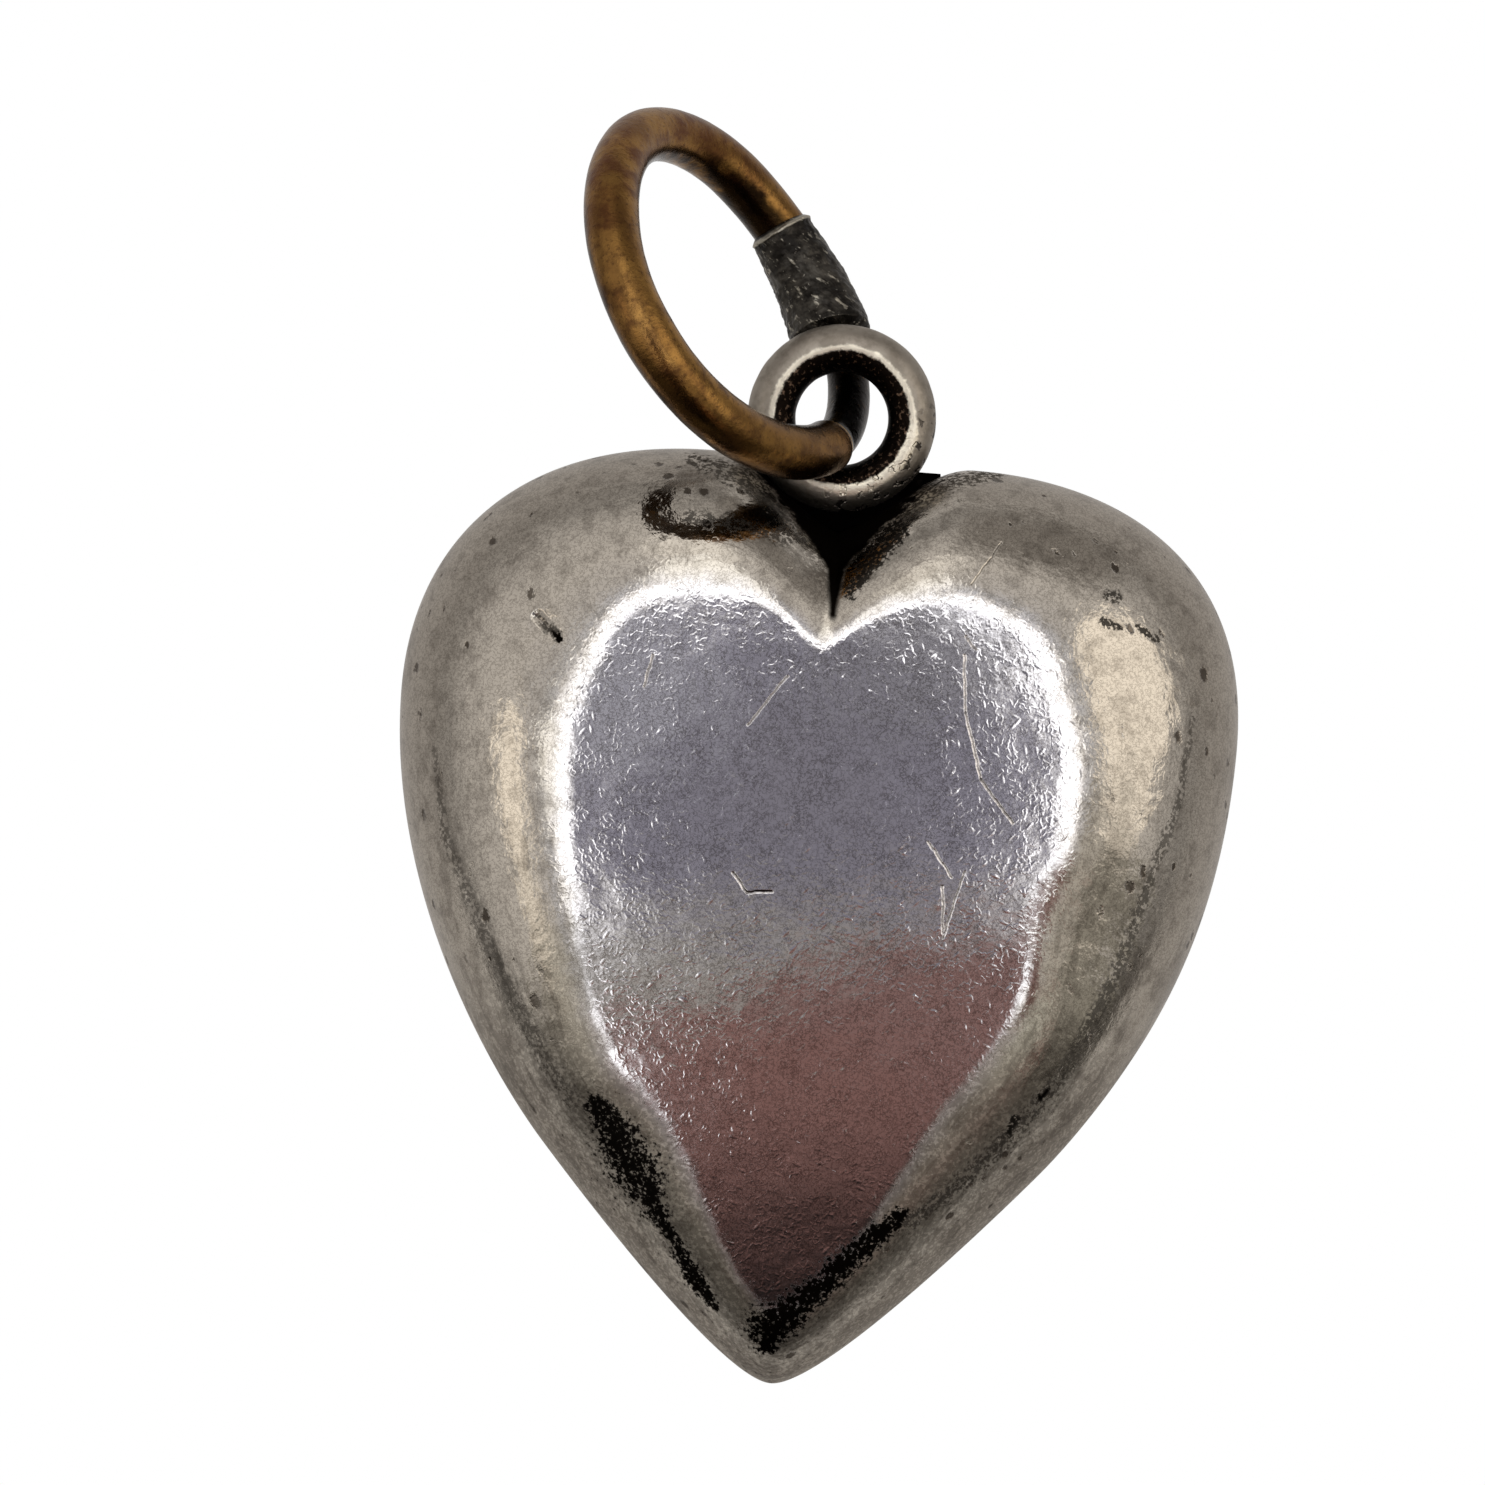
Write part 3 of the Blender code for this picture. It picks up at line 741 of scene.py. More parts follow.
def besideStretch(add, flat, start, end):
    # a place's distance from a straight stretch
    first, last = (Vector((stop[0], 0.0, stop[1])) for stop in (start, end))
    way = last - first
    fromStart = add("VectorMath SUBTRACT", flat, tuple(first))
    share = add("VectorMath DOT_PRODUCT", fromStart, tuple(way / way.length_squared))
    share = add("Math MULTIPLY", share, 1.0, use_clamp=True)
    return add("VectorMath DISTANCE", fromStart, add("VectorMath SCALE", tuple(way), share))


def addMarks(add, place, height):
    # cuts the scratches into a height, and tells how near the bottom of one a place is
    flat = add("VectorMath MULTIPLY", shaken(add, place, 0.25, 0.09), (1.0, 0.0, 1.0))
    within = 0.0
    for width, depth, stops in marks:
        for start, end in zip(stops, stops[1:]):
            apart = besideStretch(add, flat, start, end)
            near = add("MapRange SMOOTHSTEP", apart, width, 0.0)
            height = add("Math MULTIPLY_ADD", near, -depth, height)
            within = add("Math MAXIMUM", near, within)
    return height, within


def inCleft(add, place, wobble):
    # how deep in the cleft's black a place is, and how near to it
    across, _, up = add("SeparateXYZ", place).node.outputs
    above = add("Math SUBTRACT", up, cleft["foot"])
    flare = add("Math MAXIMUM", add("Math SUBTRACT", above, cleft["bend"]), 0.0)
    flare = add("Math POWER", flare, cleft["curve"])
    half = add("Math MULTIPLY_ADD", above, cleft["widens"], cleft["thin"])
    half = add("Math MULTIPLY_ADD", flare, cleft["flares"], half)
    beside = add("Math SUBTRACT", add("Math ABSOLUTE", across), half)
    loose = add("Math MULTIPLY_ADD", flare, 0.5, 0.08)
    beside = add("Math MULTIPLY_ADD", wobble, loose, beside)
    deep = add("MapRange SMOOTHSTEP", beside, 0.07, -0.05)
    around = add("MapRange SMOOTHSTEP", beside, 0.55, 0.0)
    black = add("Math MULTIPLY", deep, add("MapRange SMOOTHSTEP", above, -0.15, 0.05))
    higher = add("MapRange SMOOTHSTEP", above, -0.1, 1.4, 0.0, 0.9)
    return black, add("Math MULTIPLY", around, higher)


def sootAndPaintedShade(add, mottle, grain):
    # black stain and painted shade where strong, broken into specks where weak
    away = add("Attribute stainAway", out="Fac")
    strength = add("Attribute stainStrength", out="Fac")
    away = add("Math ADD", away, centred(add, mottle, 1.4))
    darkening = add("Math MULTIPLY", add("MapRange SMOOTHSTEP", away, 1.9, 0.3), strength)
    specks = add("Math ADD", darkening, centred(add, grain, 2.1))
    specks = add("MapRange SMOOTHSTEP", specks, 0.26, 0.60)
    return add("Math MULTIPLY", specks, add("MapRange SMOOTHSTEP", strength, 0.0, 0.75))


def wornSilver(name, seed, marked):
    material, add = newMaterial(name)
    at = placeInMm(add, heartOrigin)
    place = add("Attribute place", out="Fac")

    cloud = add("TexNoise 4D", at, seed, 1 / silver["cloud"], 3.0)
    mottle = add("TexNoise 4D", at, seed + 1, 1 / silver["mottle"], 3.0, 0.6)
    peel = add("TexNoise 4D", at, seed + 2, 1 / silver["peel"][0], 2.0, 0.6)
    lumps = add("TexNoise 4D", at, seed + 3, 1 / silver["lumps"][0], 1.0)
    grain = add("TexNoise 4D", at, seed + 4, 1 / silver["grain"], 2.0, 0.6)
    ragged = add("Math ADD", place, centred(add, mottle, 0.2))
    onSlope = add("MapRange SMOOTHSTEP", ragged, *silver["slopeFrom"])
    onRim = add("MapRange SMOOTHSTEP", ragged, *silver["rimFrom"])

    # streaks along the shoulders
    across, _, up = add("SeparateXYZ", at).node.outputs
    along = add("Attribute along", out="Fac")
    width, stretch, streakHeight = silver["streaks"]
    down = add("Math MULTIPLY", place, silver["shoulderWidth"])
    along = add("Math DIVIDE", along, stretch)
    flattened = add("CombineXYZ", down, along, add("Math MULTIPLY", across, 0.1))
    streaks = add("TexNoise 4D", flattened, seed + 12, 1 / width, 2.0, 0.6)
    streaky = add("MapRange SMOOTHSTEP", up, *silver["streaksFrom"])

    # tarnish, laid over the silver layer by layer
    tarnish = linearColor(silver["tarnish"])
    color = add("Mix RGBA", onSlope, linearColor(silver["face"]), linearColor(silver["slope"]))
    color = add("Mix RGBA", onRim, color, linearColor(silver["rim"]))
    worms = add("Math ABSOLUTE", add("Math SUBTRACT", grain, 0.5))
    worms = add("MapRange SMOOTHSTEP", worms, 0.07, 0.0)
    uneven = add("MapRange SMOOTHSTEP", mottle, 0.36, 0.62, 0.35, 0.60)
    uneven = add("Mix FLOAT", onSlope, uneven, 0.42)
    color = add("Mix RGBA", add("Math MULTIPLY", worms, uneven), color, tarnish)
    for pattern, start, end, onFace, onShoulder in (
        (cloud, 0.50, 0.72, 0.05, 0.14),
        (mottle, 0.48, 0.66, 0.08, 0.30),
    ):
        darkening = add("MapRange SMOOTHSTEP", pattern, start, end)
        darkening = add("Math MULTIPLY", darkening, add("Mix FLOAT", onSlope, onFace, onShoulder))
        color = add("Mix RGBA", darkening, color, tarnish)
    drawn = add("MapRange SMOOTHSTEP", streaks, 0.52, 0.64)
    drawn = add("Math MULTIPLY", drawn, add("Math MULTIPLY", onSlope, streaky))
    color = add("Mix RGBA", add("Math MULTIPLY", drawn, 0.32), color, tarnish)
    low = add("MapRange SMOOTHSTEP", up, *silver["lowFrom"])
    low = add("Math MULTIPLY", low, add("MapRange SMOOTHSTEP", ragged, -0.02, 0.12))
    specks = add("MapRange SMOOTHSTEP", grain, 0.48, 0.60)
    specks = add("Math MULTIPLY", specks, add("Math MULTIPLY", low, 0.45))
    color = add("Mix RGBA", specks, color, tarnish)

    # pits towards the seam
    spacing, radius, depth = silver["pits"]
    loose = shaken(add, at, 0.2, 0.12, seed + 15)
    apart, own = cells(add, loose, spacing, 1.5, math.radians(25), seed + 9)
    apart = add("Math DIVIDE", apart, add("Math MULTIPLY", own[1], radius * 1.6 / spacing))
    pit = add("Math ADD", apart, centred(add, grain, 1.2))
    pit = add("MapRange SMOOTHSTEP", pit, 1.0, 0.6)
    pit = add("Math MULTIPLY", pit, add("MapRange SMOOTHSTEP", own[0], 0.25, 0.3))
    pit = add("Math MULTIPLY", pit, add("MapRange SMOOTHSTEP", place, *silver["pitsFrom"]))
    color = add("Mix RGBA", add("Math MULTIPLY", pit, 0.9), color, tarnish)
    black, around = inCleft(add, at, add("Math SUBTRACT", mottle, 0.5))
    around = add("Math MULTIPLY", around, add("MapRange SMOOTHSTEP", grain, 0.40, 0.56))
    color = add("Mix RGBA", around, color, tarnish)

    # heights, from the widest to the finest
    rough = add("MapRange SMOOTHSTEP", place, *silver["roughFrom"])
    height = add("Math MULTIPLY", peel, add("Mix FLOAT", rough, *silver["peel"][1:]))
    tall = add("Mix FLOAT", rough, *silver["lumps"][1:])
    height = add("Math MULTIPLY_ADD", lumps, tall, height)
    tall = add("Math MULTIPLY", rough, streakHeight)
    height = add("Math MULTIPLY_ADD", streaks, tall, height)
    length, share, tall = silver["squiggles"]
    curl = add("TexNoise 4D", at, seed + 13, 1 / length, 1.0)
    curl = add("Math ABSOLUTE", add("Math SUBTRACT", curl, 0.5))
    broken = add("TexNoise 4D", at, seed + 14, 1 / silver["gaps"], 1.0)
    broken = add("MapRange SMOOTHSTEP", broken, 0.46, 0.54)
    curl = add("Math MULTIPLY", add("MapRange SMOOTHSTEP", curl, share, 0.0), broken)
    height = add("Math MULTIPLY_ADD", curl, tall, height)
    width, stretch, tall = silver["flecks"]
    for i, turn in enumerate(silver["fleckTurns"]):
        apart, own = cells(add, at, width, stretch, math.radians(turn), seed + 5 + i)
        fleck = add("Math SUBTRACT", 0.40, apart, use_clamp=True)
        fleck = add("Math MULTIPLY", fleck, add("MapRange SMOOTHSTEP", own[0], 0.72, 0.80))
        height = add("Math MULTIPLY_ADD", fleck, tall, height)
    height = add("Math MULTIPLY_ADD", pit, -depth, height)
    if marked:
        height, within = addMarks(add, at, height)
        color = laidOver(add, color, tarnish, within, 0.45, 1.0, 0.6)
        # black stains on the front, partly painted shade
        black = add("Math MAXIMUM", black, sootAndPaintedShade(add, mottle, grain))
    color = add("Mix RGBA", black, color, linearColor(silver["sulphideAndShade"]))

    onFace, onShoulder, atRim = silver["roughness"]
    roughness = add("Mix FLOAT", onRim, add("Mix FLOAT", onSlope, onFace, onShoulder), atRim)
    roughness = add("Math ADD", roughness, centred(add, cloud, 0.06))
    roughness = add("Math MULTIPLY_ADD", low, silver["matte"], roughness)
    roughness = add("Math MULTIPLY_ADD", black, 0.3, roughness)
    finishMetal(add, color, roughness, height, add("Math SUBTRACT", 1.0, black))
    return material


def addShell(node, name, facing, seed, material, dentPlaces):
    values = {label: length * mm for label, length in wear.items()}
    values |= {"Seed": seed, "Material": material}
    shell = runTree(shellHost(name, facing), wornShellTree(dentPlaces), values)
    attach(shell, "heart")
    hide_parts(node)


def faceDents():
    places = []
    for (across, up), radius, depth in dents:
        skin = float(domeHeight(np.array([across, up]))) * 0.93  # the shoulder falls away there
        places.append((heartOrigin + Vector((across, -skin, up)) * mm, radius, depth))
    return places


frontSilver = wornSilver("worn silver, front", 1.0, True)
backSilver = wornSilver("worn silver, back", 21.0, False)
addShell("front_shell", "frontShell", -1, 3.0, frontSilver, faceDents())
addShell("back_shell", "backShell", 1, 8.0, backSilver, [])
print("half shells made")


# wires: the seam's solder, the bail, the jump ring and its repair

wireInputs = ("Sides", "Uneven", "Uneven Length", "Rough", "Rough Length", "Seed")


def pathHost(name, points, halves, closed, worn):
    # a chain of edges, with the wire's half thickness and its wear at each point
    mesh = bpy.data.meshes.new(name)
    count = len(points)
    edges = [(i, (i + 1) % count) for i in range(count if closed else count - 1)]
    mesh.from_pydata([tuple(point) for point in points], edges, [])
    storeValues(mesh, half=halves, worn=worn)
    return linkObject(name, mesh)


def wireTree():
    tree, add, given = geometryTree("wire along a path", *wireInputs)
    path = add("GeometryNodeMeshToCurve", given["Geometry"])
    circle = {"Resolution": given["Sides"], "Radius": 1.0}
    section = add("GeometryNodeCurvePrimitiveCircle", circle)
    half = add("GeometryNodeInputNamedAttribute FLOAT", "half")
    sweep = {"Curve": path, "Profile Curve": section, "Scale": half, "Fill Caps": True}
    wire = add("GeometryNodeCurveToMesh", sweep)
    position = add("GeometryNodeInputPosition")
    rise = 0.0  # more of it goes inwards, so that the wire stays inside its size
    for height, detail in (("Uneven", 1.0), ("Rough", 4.0)):
        scale = add("Math DIVIDE", 1.0, given[height + " Length"])
        made = add("TexNoise 4D", position, given["Seed"], scale, detail)
        part = add("Math MULTIPLY", add("Math SUBTRACT", made, 0.62), given[height])
        rise = add("Math ADD", part, rise)
    endTree(add, wire, rise, given["Material"])
    return tree


wires = wireTree()


def addWire(name, node, body, material, points, halves, form, closed=True, worn=None):
    host = pathHost(name, points, halves, closed, worn or [0.0] * len(points))
    plain = ("Sides", "Seed")  # these aren't lengths
    values = {label: form[label] * (1 if label in plain else mm) for label in wireInputs}
    piece = runTree(host, wires, values | {"Material": material})
    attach(piece, body)
    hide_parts(node)


# Hard silver solder, a thin dull line along the joint of the two halves
seam = {  # mm
    "half": 0.055,
    "inset": 0.06,
    "Sides": 12,
    "Uneven": 0.03,
    "Uneven Length": 1.2,
    "Rough": 0.02,
    "Rough Length": 0.12,
    "Seed": 2.0,
    "mottle": 0.25,  # sizes of the patterns
    "grain": 0.06,
    "bright": "a39a8c",
    "dark": "3b342e",
}


def dullSolder():
    material, add = newMaterial("dull silver solder")
    at = placeInMm(add, heartOrigin)
    mottle = add("TexNoise 4D", at, 0.0, 1 / seam["mottle"], 3.0, 0.6)
    grain = add("TexNoise 4D", at, 4.0, 1 / seam["grain"], 2.0)
    bright, dark = linearColor(seam["bright"]), linearColor(seam["dark"])
    color = laidOver(add, bright, dark, mottle, 0.42, 0.62)
    roughness = add("Math ADD", 0.38, add("Math MULTIPLY", mottle, 0.2))
    finishMetal(add, color, roughness, add("Math MULTIPLY", grain, 0.006))
    return material


def addSeam():
    outline, contour = outlineAndContour()
    way = contour - outline
    plan = outline + way / np.linalg.norm(way, axis=1)[:, None] * seam["inset"]
    points = [heartOrigin + Vector((x, 0.0, z)) * mm for x, z in plan[::2]]
    halves = [seam["half"] * mm] * len(points)
    solder = dullSolder()
    addWire("seamSolder", "seam_solder", "heart", solder, points, halves, seam)


addSeam()

# Round silver wire, soldered to a ring, with a painted highlight along its crest, and black
# inside, partly sulphide and partly painted shade
bailLow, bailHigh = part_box("bail")
bail = {  # mm
    "wire": (bailHigh.y - bailLow.y) / mm,
    "outer": (bailHigh.x - bailLow.x) / mm,
    "highlightLine": 1.30,  # the radius of the painted highlight along its crest
    "inside": (1.27, 1.22),  # the radii where the black begins
    "steps": 220,
    "Sides": 64,
    "Uneven": 0.035,
    "Uneven Length": 0.9,
    "Rough": 0.012,
    "Rough Length": 0.2,
    "Seed": 5.0,
    "mottle": 0.3,  # sizes of the patterns
    "grain": 0.08,
    "spots": 0.16,
    "lowRight": (0.9, 1.8),  # where the spots begin, across less up from the middle
    "worn": "9e978d",
    # the painted highlight along the crest
    "creamHighlight": "e2dac8",
    "grey": "8b847a",
    # black sulphide, and painted shade inside the ring
    "sulphideAndShade": "15100d",
    "fleck": "6d5a4c",
}


def bailSilver():
    material, add = newMaterial("worn silver, bail")
    at = placeInMm(add, bailCentre)
    outwards = add("VectorMath LENGTH", add("VectorMath MULTIPLY", at, (1.0, 0.0, 1.0)))
    across, _, up = add("SeparateXYZ", at).node.outputs
    mottle = add("TexNoise 4D", at, 1.0, 1 / bail["mottle"], 4.0, 0.65)
    grain = add("TexNoise 4D", at, 2.0, 1 / bail["grain"], 3.0, 0.6)
    lowRight = add("Math SUBTRACT", across, up)
    lowRight = add("MapRange SMOOTHSTEP", lowRight, *bail["lowRight"])
    names = ("worn", "creamHighlight", "grey", "sulphideAndShade", "fleck")
    worn, creamHighlight, grey, sulphideAndShade, fleck = (linearColor(bail[name]) for name in names)
    color = laidOver(add, worn, grey, mottle, 0.42, 0.66)
    spots = add("TexNoise 4D", at, 3.0, 1 / bail["spots"], 2.0)
    spots = add("MapRange SMOOTHSTEP", spots, 0.55, 0.62)
    spots = add("Math MULTIPLY", spots, lowRight)
    color = add("Mix RGBA", add("Math MULTIPLY", spots, 0.85), color, sulphideAndShade)
    # a painted highlight along the wire's crest, ragged at its edges and wider low on the right
    edge = add("Math ADD", outwards, centred(add, mottle, 0.12))
    edge = add("Math ADD", edge, centred(add, grain, 0.10))
    apart = add("Math ABSOLUTE", add("Math SUBTRACT", edge, bail["highlightLine"]))
    apart = add("Math SUBTRACT", apart, add("Math MULTIPLY", lowRight, 0.10))
    highlightLine = add("MapRange SMOOTHSTEP", apart, 0.08, 0.02)
    color = add("Mix RGBA", highlightLine, color, creamHighlight)
    # black inside the ring, partly sulphide and partly painted shade
    inside = add("MapRange SMOOTHSTEP", edge, *bail["inside"])
    color = add("Mix RGBA", inside, color, sulphideAndShade)
    flecks = add("Math MULTIPLY", add("MapRange SMOOTHSTEP", grain, 0.55, 0.66), inside)
    color = add("Mix RGBA", flecks, color, fleck)
    roughness = add("Math MULTIPLY_ADD", mottle, 0.2, 0.34)
    roughness = add("Math MULTIPLY_ADD", highlightLine, -0.12, roughness)
    height = add("Math MULTIPLY_ADD", grain, 0.008, add("Math MULTIPLY", mottle, 0.012))
    height = add("Math MULTIPLY_ADD", spots, -0.02, height)
    finishMetal(add, color, roughness, height)
    return material


def addBail():
    radius = (bail["outer"] - bail["wire"]) / 2
    points = []
    for i in range(bail["steps"]):
        angle = 2 * math.pi * i / bail["steps"]
        points.append(bailCentre + Vector((math.cos(angle), 0.0, math.sin(angle))) * radius * mm)
    halves = [bail["wire"] / 2 * mm] * len(points)
    addWire("bailRing", "bail", "heart", bailSilver(), points, halves, bail)


addBail()

# Half-hard brass wire with a brown patina, rubbed to gold where it is handled. It is bent a
# little out of round, and worn thin and black where the bail hangs.
jumpRing = {  # mm
    "wire": 1.02,
    "outer": 7.63,
    "bend": 0.09,  # out of round
    "bendAngle": math.radians(-143.8),  # angles round the ring are from its top
    "lean": math.radians(34.8),
    "turn": math.radians(60.4),
    "worn": (math.radians(-126.0), math.radians(-171.0)),
    "wornWire": 0.80,
    "wornStep": math.radians(7.0),
    "pit": math.radians(178.0),
    "pitHole": (0.14, 0.08),  # radii, from its edge to its full black
    # a painted highlight round the pit's rim: radii, from where it begins to its full gold
    "pitHighlight": (0.26, 0.18),
    "reddened": (1.4, 3.2),  # heights above the ring's middle
    "repair": (math.radians(-76.5), math.radians(-121.0)),
    "cut": 0.08,
    "steps": 480,
    "Sides": 64,
    "Uneven": 0.05,
    "Uneven Length": 1.6,
    "Rough": 0.010,
    "Rough Length": 0.25,
    "Seed": 9.0,
    "cloud": 1.1,  # sizes of the patterns
    "mottle": 0.32,
    "grain": 0.07,
    "gold": "9c7640",
    "patina": "74532e",
    "brown": "4c3320",
    "rust": "6b3a24",
    # rubbed gold, with a painted highlight
    "rubbedHighlight": "e0b565",
    "black": "120e0b",
}
ringRadius = (jumpRing["outer"] - jumpRing["wire"]) / 2
ringUp = Vector((-math.sin(jumpRing["lean"]), 0.0, math.cos(jumpRing["lean"])))
ringNear = Vector((
    -math.cos(jumpRing["lean"]) * math.cos(jumpRing["turn"]),
    -math.sin(jumpRing["turn"]),
    -math.sin(jumpRing["lean"]) * math.cos(jumpRing["turn"]),
))
ringAxis = ringUp.cross(ringNear)


def ringReach(angle):
    return ringRadius + jumpRing["bend"] * math.cos(3 * (angle - jumpRing["bendAngle"]))


def ringOut(angle):
    return math.cos(angle) * ringUp + math.sin(angle) * ringNear


ringCentre = -(ringReach(0.0) - jumpRing["wire"] / 2) * mm * ringUp


def ringPoint(angle):
    return ringCentre + ringReach(angle) * mm * ringOut(angle)


def ringWear(angle):
    # 1 along the worn stretch
    angle = (angle - math.pi) % (2 * math.pi) - math.pi
    start, end = jumpRing["worn"]
    into = min(start - angle, angle - end) / jumpRing["wornStep"]
    share = min(max(into + 0.5, 0.0), 1.0)
    return share * share * (3 - 2 * share)


def agedBrass():
    material, add = newMaterial("aged brass")
    at = placeInMm(add, ringCentre)
    worn = add("Attribute worn", out="Fac")
    names = ("gold", "patina", "brown", "rust", "rubbedHighlight", "black")
    gold, patina, brown, rust, rubbedHighlight, black = (linearColor(jumpRing[name]) for name in names)
    cloud = add("TexNoise 4D", at, 1.0, 1 / jumpRing["cloud"], 3.0, 0.55)
    mottle = add("TexNoise 4D", at, 2.0, 1 / jumpRing["mottle"], 4.0, 0.62)
    grain = add("TexNoise 4D", at, 3.0, 1 / jumpRing["grain"], 2.0, 0.6)
    color = laidOver(add, gold, patina, cloud, 0.30, 0.66)
    color = laidOver(add, color, brown, mottle, 0.44, 0.70, 0.8)
    color = laidOver(add, color, brown, grain, 0.54, 0.68, 0.55)
    top = add("VectorMath DOT_PRODUCT", at, tuple(ringUp))
    top = add("MapRange SMOOTHSTEP", top, *jumpRing["reddened"])
    reddened = add("MapRange SMOOTHSTEP", mottle, 0.30, 0.70)
    reddened = add("Math MULTIPLY", reddened, add("Math MULTIPLY", top, 0.45))
    color = add("Mix RGBA", reddened, color, rust)

    # painted shade: black on the side next to the heart and inside the ring; and black where the
    # bail has worn it
    axis = add("VectorMath DOT_PRODUCT", at, tuple(ringAxis))
    flat = add("VectorMath SUBTRACT", at, add("VectorMath SCALE", tuple(ringAxis), axis))
    inwards = add("Math SUBTRACT", ringRadius, add("VectorMath LENGTH", flat))
    under = add("Math MULTIPLY_ADD", axis, -1.0, centred(add, mottle, 0.3))
    color = laidOver(add, color, black, under, 0.10, 0.42, 0.85)
    inwards = add("Math ADD", inwards, centred(add, mottle, 0.3))
    color = laidOver(add, color, black, inwards, 0.30, 0.46, 0.9)
    # a rubbed gold lip where the worn stretch begins, with a painted highlight on it
    edge = add("Math ADD", worn, centred(add, mottle, 0.9))
    edge = add("Math MULTIPLY", edge, add("MapRange SMOOTHSTEP", worn, 0.02, 0.12))
    lip = add("MapRange SMOOTHSTEP", edge, 0.10, 0.25)
    lip = add("Math MULTIPLY", lip, add("MapRange SMOOTHSTEP", edge, 0.55, 0.35))
    color = add("Mix RGBA", lip, color, rubbedHighlight)
    blackened = add("MapRange SMOOTHSTEP", edge, 0.45, 0.60)
    flecks = add("Math MULTIPLY", add("MapRange SMOOTHSTEP", grain, 0.62, 0.68), 0.4)
    color = add("Mix RGBA", blackened, color, add("Mix RGBA", flecks, black, patina))

    # a small round pit on the side next to the camera, black inside, with a painted highlight
    # round its rim
    pit = (ringPoint(jumpRing["pit"]) - ringCentre) / mm
    pit = tuple(pit + towardsCamera * jumpRing["wire"] * 0.42)
    apart = add("Math ADD", add("VectorMath DISTANCE", at, pit), centred(add, grain, 0.08))
    color = laidOver(add, color, gold, apart, *jumpRing["pitHighlight"])
    hole = add("MapRange SMOOTHSTEP", apart, *jumpRing["pitHole"])
    color = add("Mix RGBA", hole, color, black)

    roughness = add("Math MULTIPLY_ADD", mottle, 0.28, 0.12)
    height = add("Math MULTIPLY_ADD", grain, 0.006, add("Math MULTIPLY", mottle, 0.014))
    height = add("Math MULTIPLY_ADD", hole, -0.05, height)
    height = add("Math MULTIPLY_ADD", lip, 0.02, height)
    finishMetal(add, color, roughness, height)
    return material


def addJumpRing():
    middle = sum(jumpRing["repair"]) / 2
    halfCut = jumpRing["cut"] / 2 / ringRadius
    start, sweep = middle + halfCut, 2 * math.pi - 2 * halfCut
    angles = [start + sweep * i / jumpRing["steps"] for i in range(jumpRing["steps"] + 1)]
    worn = [ringWear(angle) for angle in angles]
    thinner = jumpRing["wornWire"] - jumpRing["wire"]
    halves = [(jumpRing["wire"] + thinner * share) / 2 * mm for share in worn]
    points = [ringPoint(angle) for angle in angles]
    addWire(
        "jumpRing",
        "jump_ring",
        "ring",
        agedBrass(),
        points,
        halves,
        jumpRing,
        closed=False,
        worn=worn,
    )


addJumpRing()

# Soft solder, wiped on by hand round the cut: dark grey and wrinkled, with paler rubbed ridges
# that carry painted highlights, as do specks and its upper edge. It is thicker towards the bail
# and on the ring's inner side, and its upper edge is slanted.
sleeve = {  # mm
    "clear": 0.02,  # from the wire
    "thin": 0.035,  # at the upper end
    "thick": 0.21,  # towards the bail
    "shift": 0.26,  # how far the thick end is shifted inwards
    "slant": math.radians(3.5),
    "slantTurn": math.radians(180.0),
    "lip": (0.03, 0.02, 0.03),  # where it is and how wide, as shares of the length, and its height
    "ends": (0.03, 0.05),  # how much of the length they round over
    "stations": 150,
    "sides": 96,
    "Height": 0.090,  # lumps
    "Length": 0.30,
    "Fine Height": 0.070,  # wrinkles
    "Fine Length": 0.12,
    "mottle": 0.4,  # sizes of the patterns
    "wrinkle": 0.12,
    "grain": 0.07,
    "dark": "242220",
    "grey": "4c4944",
    # paler rubbed solder, with painted highlights
    "rubbedHighlight": "b4afa2",
}


def softSolder():
    material, add = newMaterial("wiped soft solder")
    at = placeInMm(add, ringCentre)
    mottle = add("TexNoise 4D", at, 5.0, 1 / sleeve["mottle"], 4.0, 0.65)
    wrinkle = stretched(add, at, 3, math.radians(60))
    wrinkle = add("TexNoise 4D", wrinkle, 6.0, 1 / sleeve["wrinkle"], 3.0, 0.6)
    grain = add("TexNoise 4D", at, 7.0, 1 / sleeve["grain"], 2.0, 0.6)
    dark, grey, rubbedHighlight = (linearColor(sleeve[name]) for name in ("dark", "grey", "rubbedHighlight"))
    color = laidOver(add, dark, grey, mottle, 0.40, 0.66)
    # painted highlights, paler, on the wrinkles' ridges, in specks and along the lip
    color = laidOver(add, color, rubbedHighlight, wrinkle, 0.57, 0.68, 0.85)
    color = laidOver(add, color, rubbedHighlight, grain, 0.66, 0.72, 0.7)
    lip = add("Attribute lip", out="Fac")
    color = laidOver(add, color, rubbedHighlight, lip, 0.3, 0.8, 0.8)
    height = add("Math MULTIPLY_ADD", wrinkle, 0.030, add("Math MULTIPLY", mottle, 0.02))
    finishMetal(add, color, add("Math MULTIPLY_ADD", mottle, 0.2, 0.30), height)
    return material


skinInputs = ("Height", "Length", "Fine Height", "Fine Length")


def lumpyTree():
    tree, add, given = geometryTree("lumpy skin", *skinInputs)
    position = add("GeometryNodeInputPosition")
    rise = 0.0
    for kind, detail in (("", 1.0), ("Fine ", 2.0)):
        scale = add("Math DIVIDE", 1.0, given[kind + "Length"])
        made = add("TexNoise 3D", position, scale, detail)
        made = add("Math SUBTRACT", made, 0.5)
        rise = add("Math MULTIPLY_ADD", made, given[kind + "Height"], rise)
    outside = add("GeometryNodeInputNamedAttribute FLOAT", "outside")
    rise = add("Math MULTIPLY", rise, outside)
    endTree(add, given["Geometry"], rise, given["Material"])
    return tree


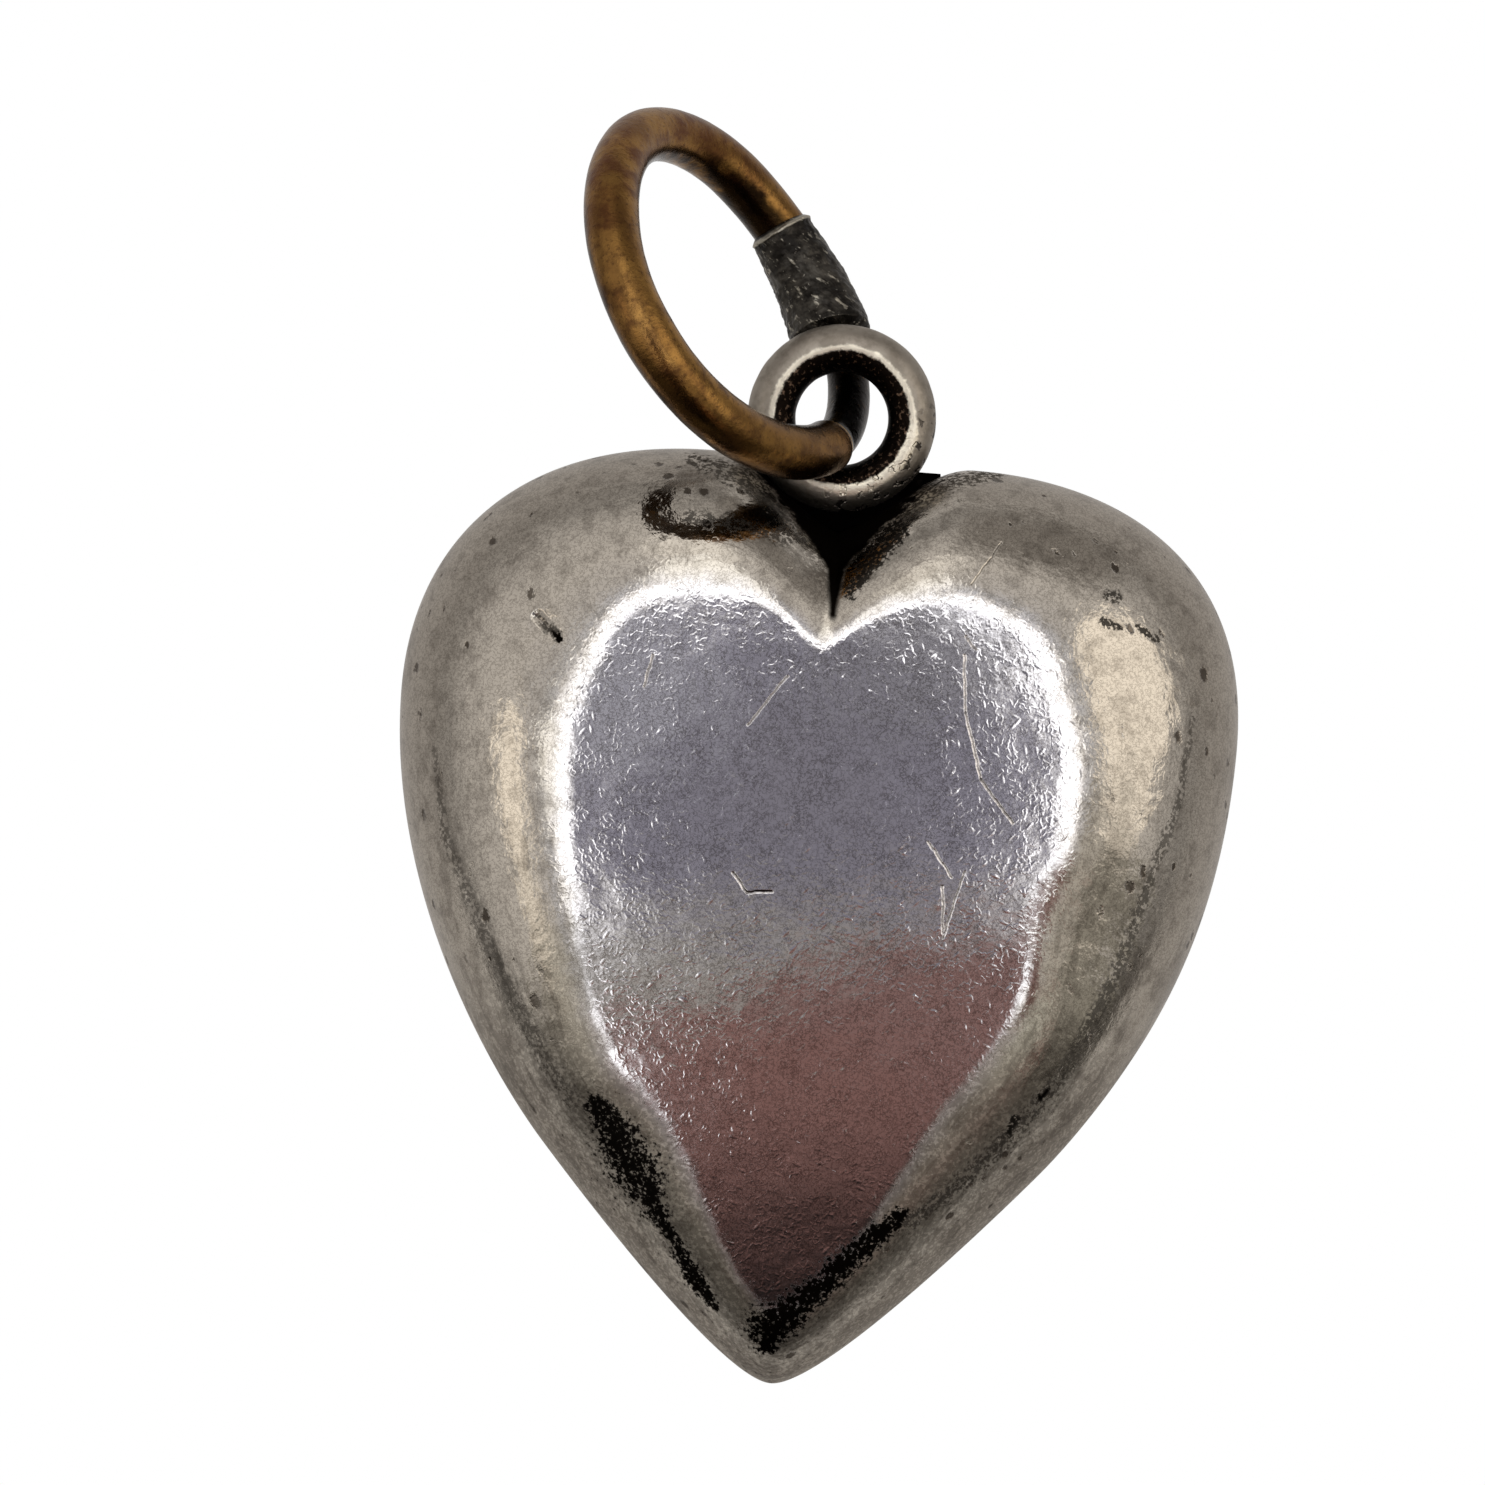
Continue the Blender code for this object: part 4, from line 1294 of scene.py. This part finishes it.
def sleeveHost():
    start, end = jumpRing["repair"]
    stations, sides = sleeve["stations"], sleeve["sides"]
    lipAt, lipWidth, lipHeight = sleeve["lip"]
    startRound, endRound = sleeve["ends"]
    points, outside, lips = [], [], []
    for i in range(stations + 1):
        along = i / stations
        for k in range(sides):
            turn = 2 * math.pi * k / sides
            slant = sleeve["slant"] * math.cos(turn - sleeve["slantTurn"]) * (1 - along)
            angle = start + (end - start) * along + slant
            swell = sleeve["thin"] + (sleeve["thick"] - sleeve["thin"]) * along**0.8
            swell = max(swell - sleeve["shift"] * math.sqrt(along) * math.cos(turn), 0.0)
            lip = math.exp(-(((along - lipAt) / lipWidth) ** 2))
            ends = min(along / startRound, (1 - along) / endRound, 1.0)
            half = (swell + lipHeight * lip) * math.sqrt(ends)
            half += jumpRing["wire"] / 2 + sleeve["clear"]
            out = math.cos(turn) * ringOut(angle) + math.sin(turn) * ringAxis
            points.append(ringPoint(angle) + out * half * mm)
            outside.append(ends * (0.35 + 0.65 * (1 - math.cos(turn)) / 2))
            lips.append(lip)
    faces = []
    for i in range(stations):
        faces += ringFaces(i * sides, (i + 1) * sides, sides)
    faces += [tuple(reversed(range(sides))), tuple(stations * sides + k for k in range(sides))]
    mesh = bpy.data.meshes.new("ringRepair")
    mesh.from_pydata([tuple(point) for point in points], [], faces)
    storeValues(mesh, outside=outside, lip=lips)
    shape = bmesh.new()
    shape.from_mesh(mesh)
    bmesh.ops.recalc_face_normals(shape, faces=shape.faces)
    shape.to_mesh(mesh)
    shape.free()
    return linkObject("ringRepair", mesh)


def addSleeve():
    values = {label: sleeve[label] * mm for label in skinInputs}
    piece = runTree(sleeveHost(), lumpyTree(), values | {"Material": softSolder()})
    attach(piece, "ring")
    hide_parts("ring_solder")


addSleeve()
print("wires made")


# Solder between the bail and the heart, black with sulphide and almost without a shine. It lies
# low behind the bail, and is full further out.
seat = {  # mm
    "voxel": 0.03,
    "soften": 4,
    "flat": 0.2,  # how full it is behind the bail
    "reach": (1.75, 2.3),  # from the bail's middle, where it fills out
    "widen": 1.03,
    "hidden": 1.62,  # further from the bail's middle than this it rises no higher than top
    "top": 17.06,  # above the tip
    "mottle": 0.2,
    "black": "050404",
    "grey": "14110f",
}


def blackSolder():
    material, add = newMaterial("blackened solder")
    at = placeInMm(add, bailCentre)
    mottle = add("TexNoise 4D", at, 3.0, 1 / seat["mottle"], 4.0, 0.6)
    black, grey = linearColor(seat["black"]), linearColor(seat["grey"])
    color = laidOver(add, black, grey, mottle, 0.58, 0.72)
    roughness = add("Math MULTIPLY_ADD", mottle, 0.2, 0.7)
    height = add("Math MULTIPLY", mottle, 0.02)
    finishMetal(add, color, roughness, height, linearColor("000000"))
    return material


def addBailSolder():
    shape = bmesh.new()
    shape.from_mesh(frame["nodes"]["bail_solder"].data)
    bmesh.ops.remove_doubles(shape, verts=shape.verts, dist=1e-7)
    mesh = bpy.data.meshes.new("bailSolder")
    shape.to_mesh(mesh)
    shape.free()
    piece = linkObject("bailSolder", mesh)
    remesh = piece.modifiers.new("even", "REMESH")
    remesh.mode = "VOXEL"
    remesh.voxel_size = seat["voxel"] * mm
    soften = piece.modifiers.new("soften", "SMOOTH")
    soften.iterations = seat["soften"]
    evaluated = piece.evaluated_get(bpy.context.evaluated_depsgraph_get())
    smooth = bpy.data.meshes.new_from_object(evaluated)
    bpy.data.objects.remove(piece)

    def fromBail(place):
        return ((place - bailCentre) * Vector((1, 0, 1))).length / mm

    low, high = seat["reach"]
    for vertex in smooth.vertices:
        apart = fromBail(vertex.co)
        share = min(max((apart - low) / (high - low), 0.0), 1.0)
        flat = seat["flat"] + (1 - seat["flat"]) * share
        vertex.co.y = seamPlane + (vertex.co.y - seamPlane) * flat
        vertex.co.x = heartOrigin.x + (vertex.co.x - heartAxis) * seat["widen"]
        if fromBail(vertex.co) > seat["hidden"]:
            vertex.co.z = min(vertex.co.z, heartOrigin.z + seat["top"] * mm)
    smooth.shade_smooth()
    smooth.materials.clear()
    smooth.materials.append(blackSolder())
    piece = linkObject("bailSolder", smooth)
    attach(piece, "heart")
    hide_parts("bail_solder")


addBailSolder()
print("bail solder made")
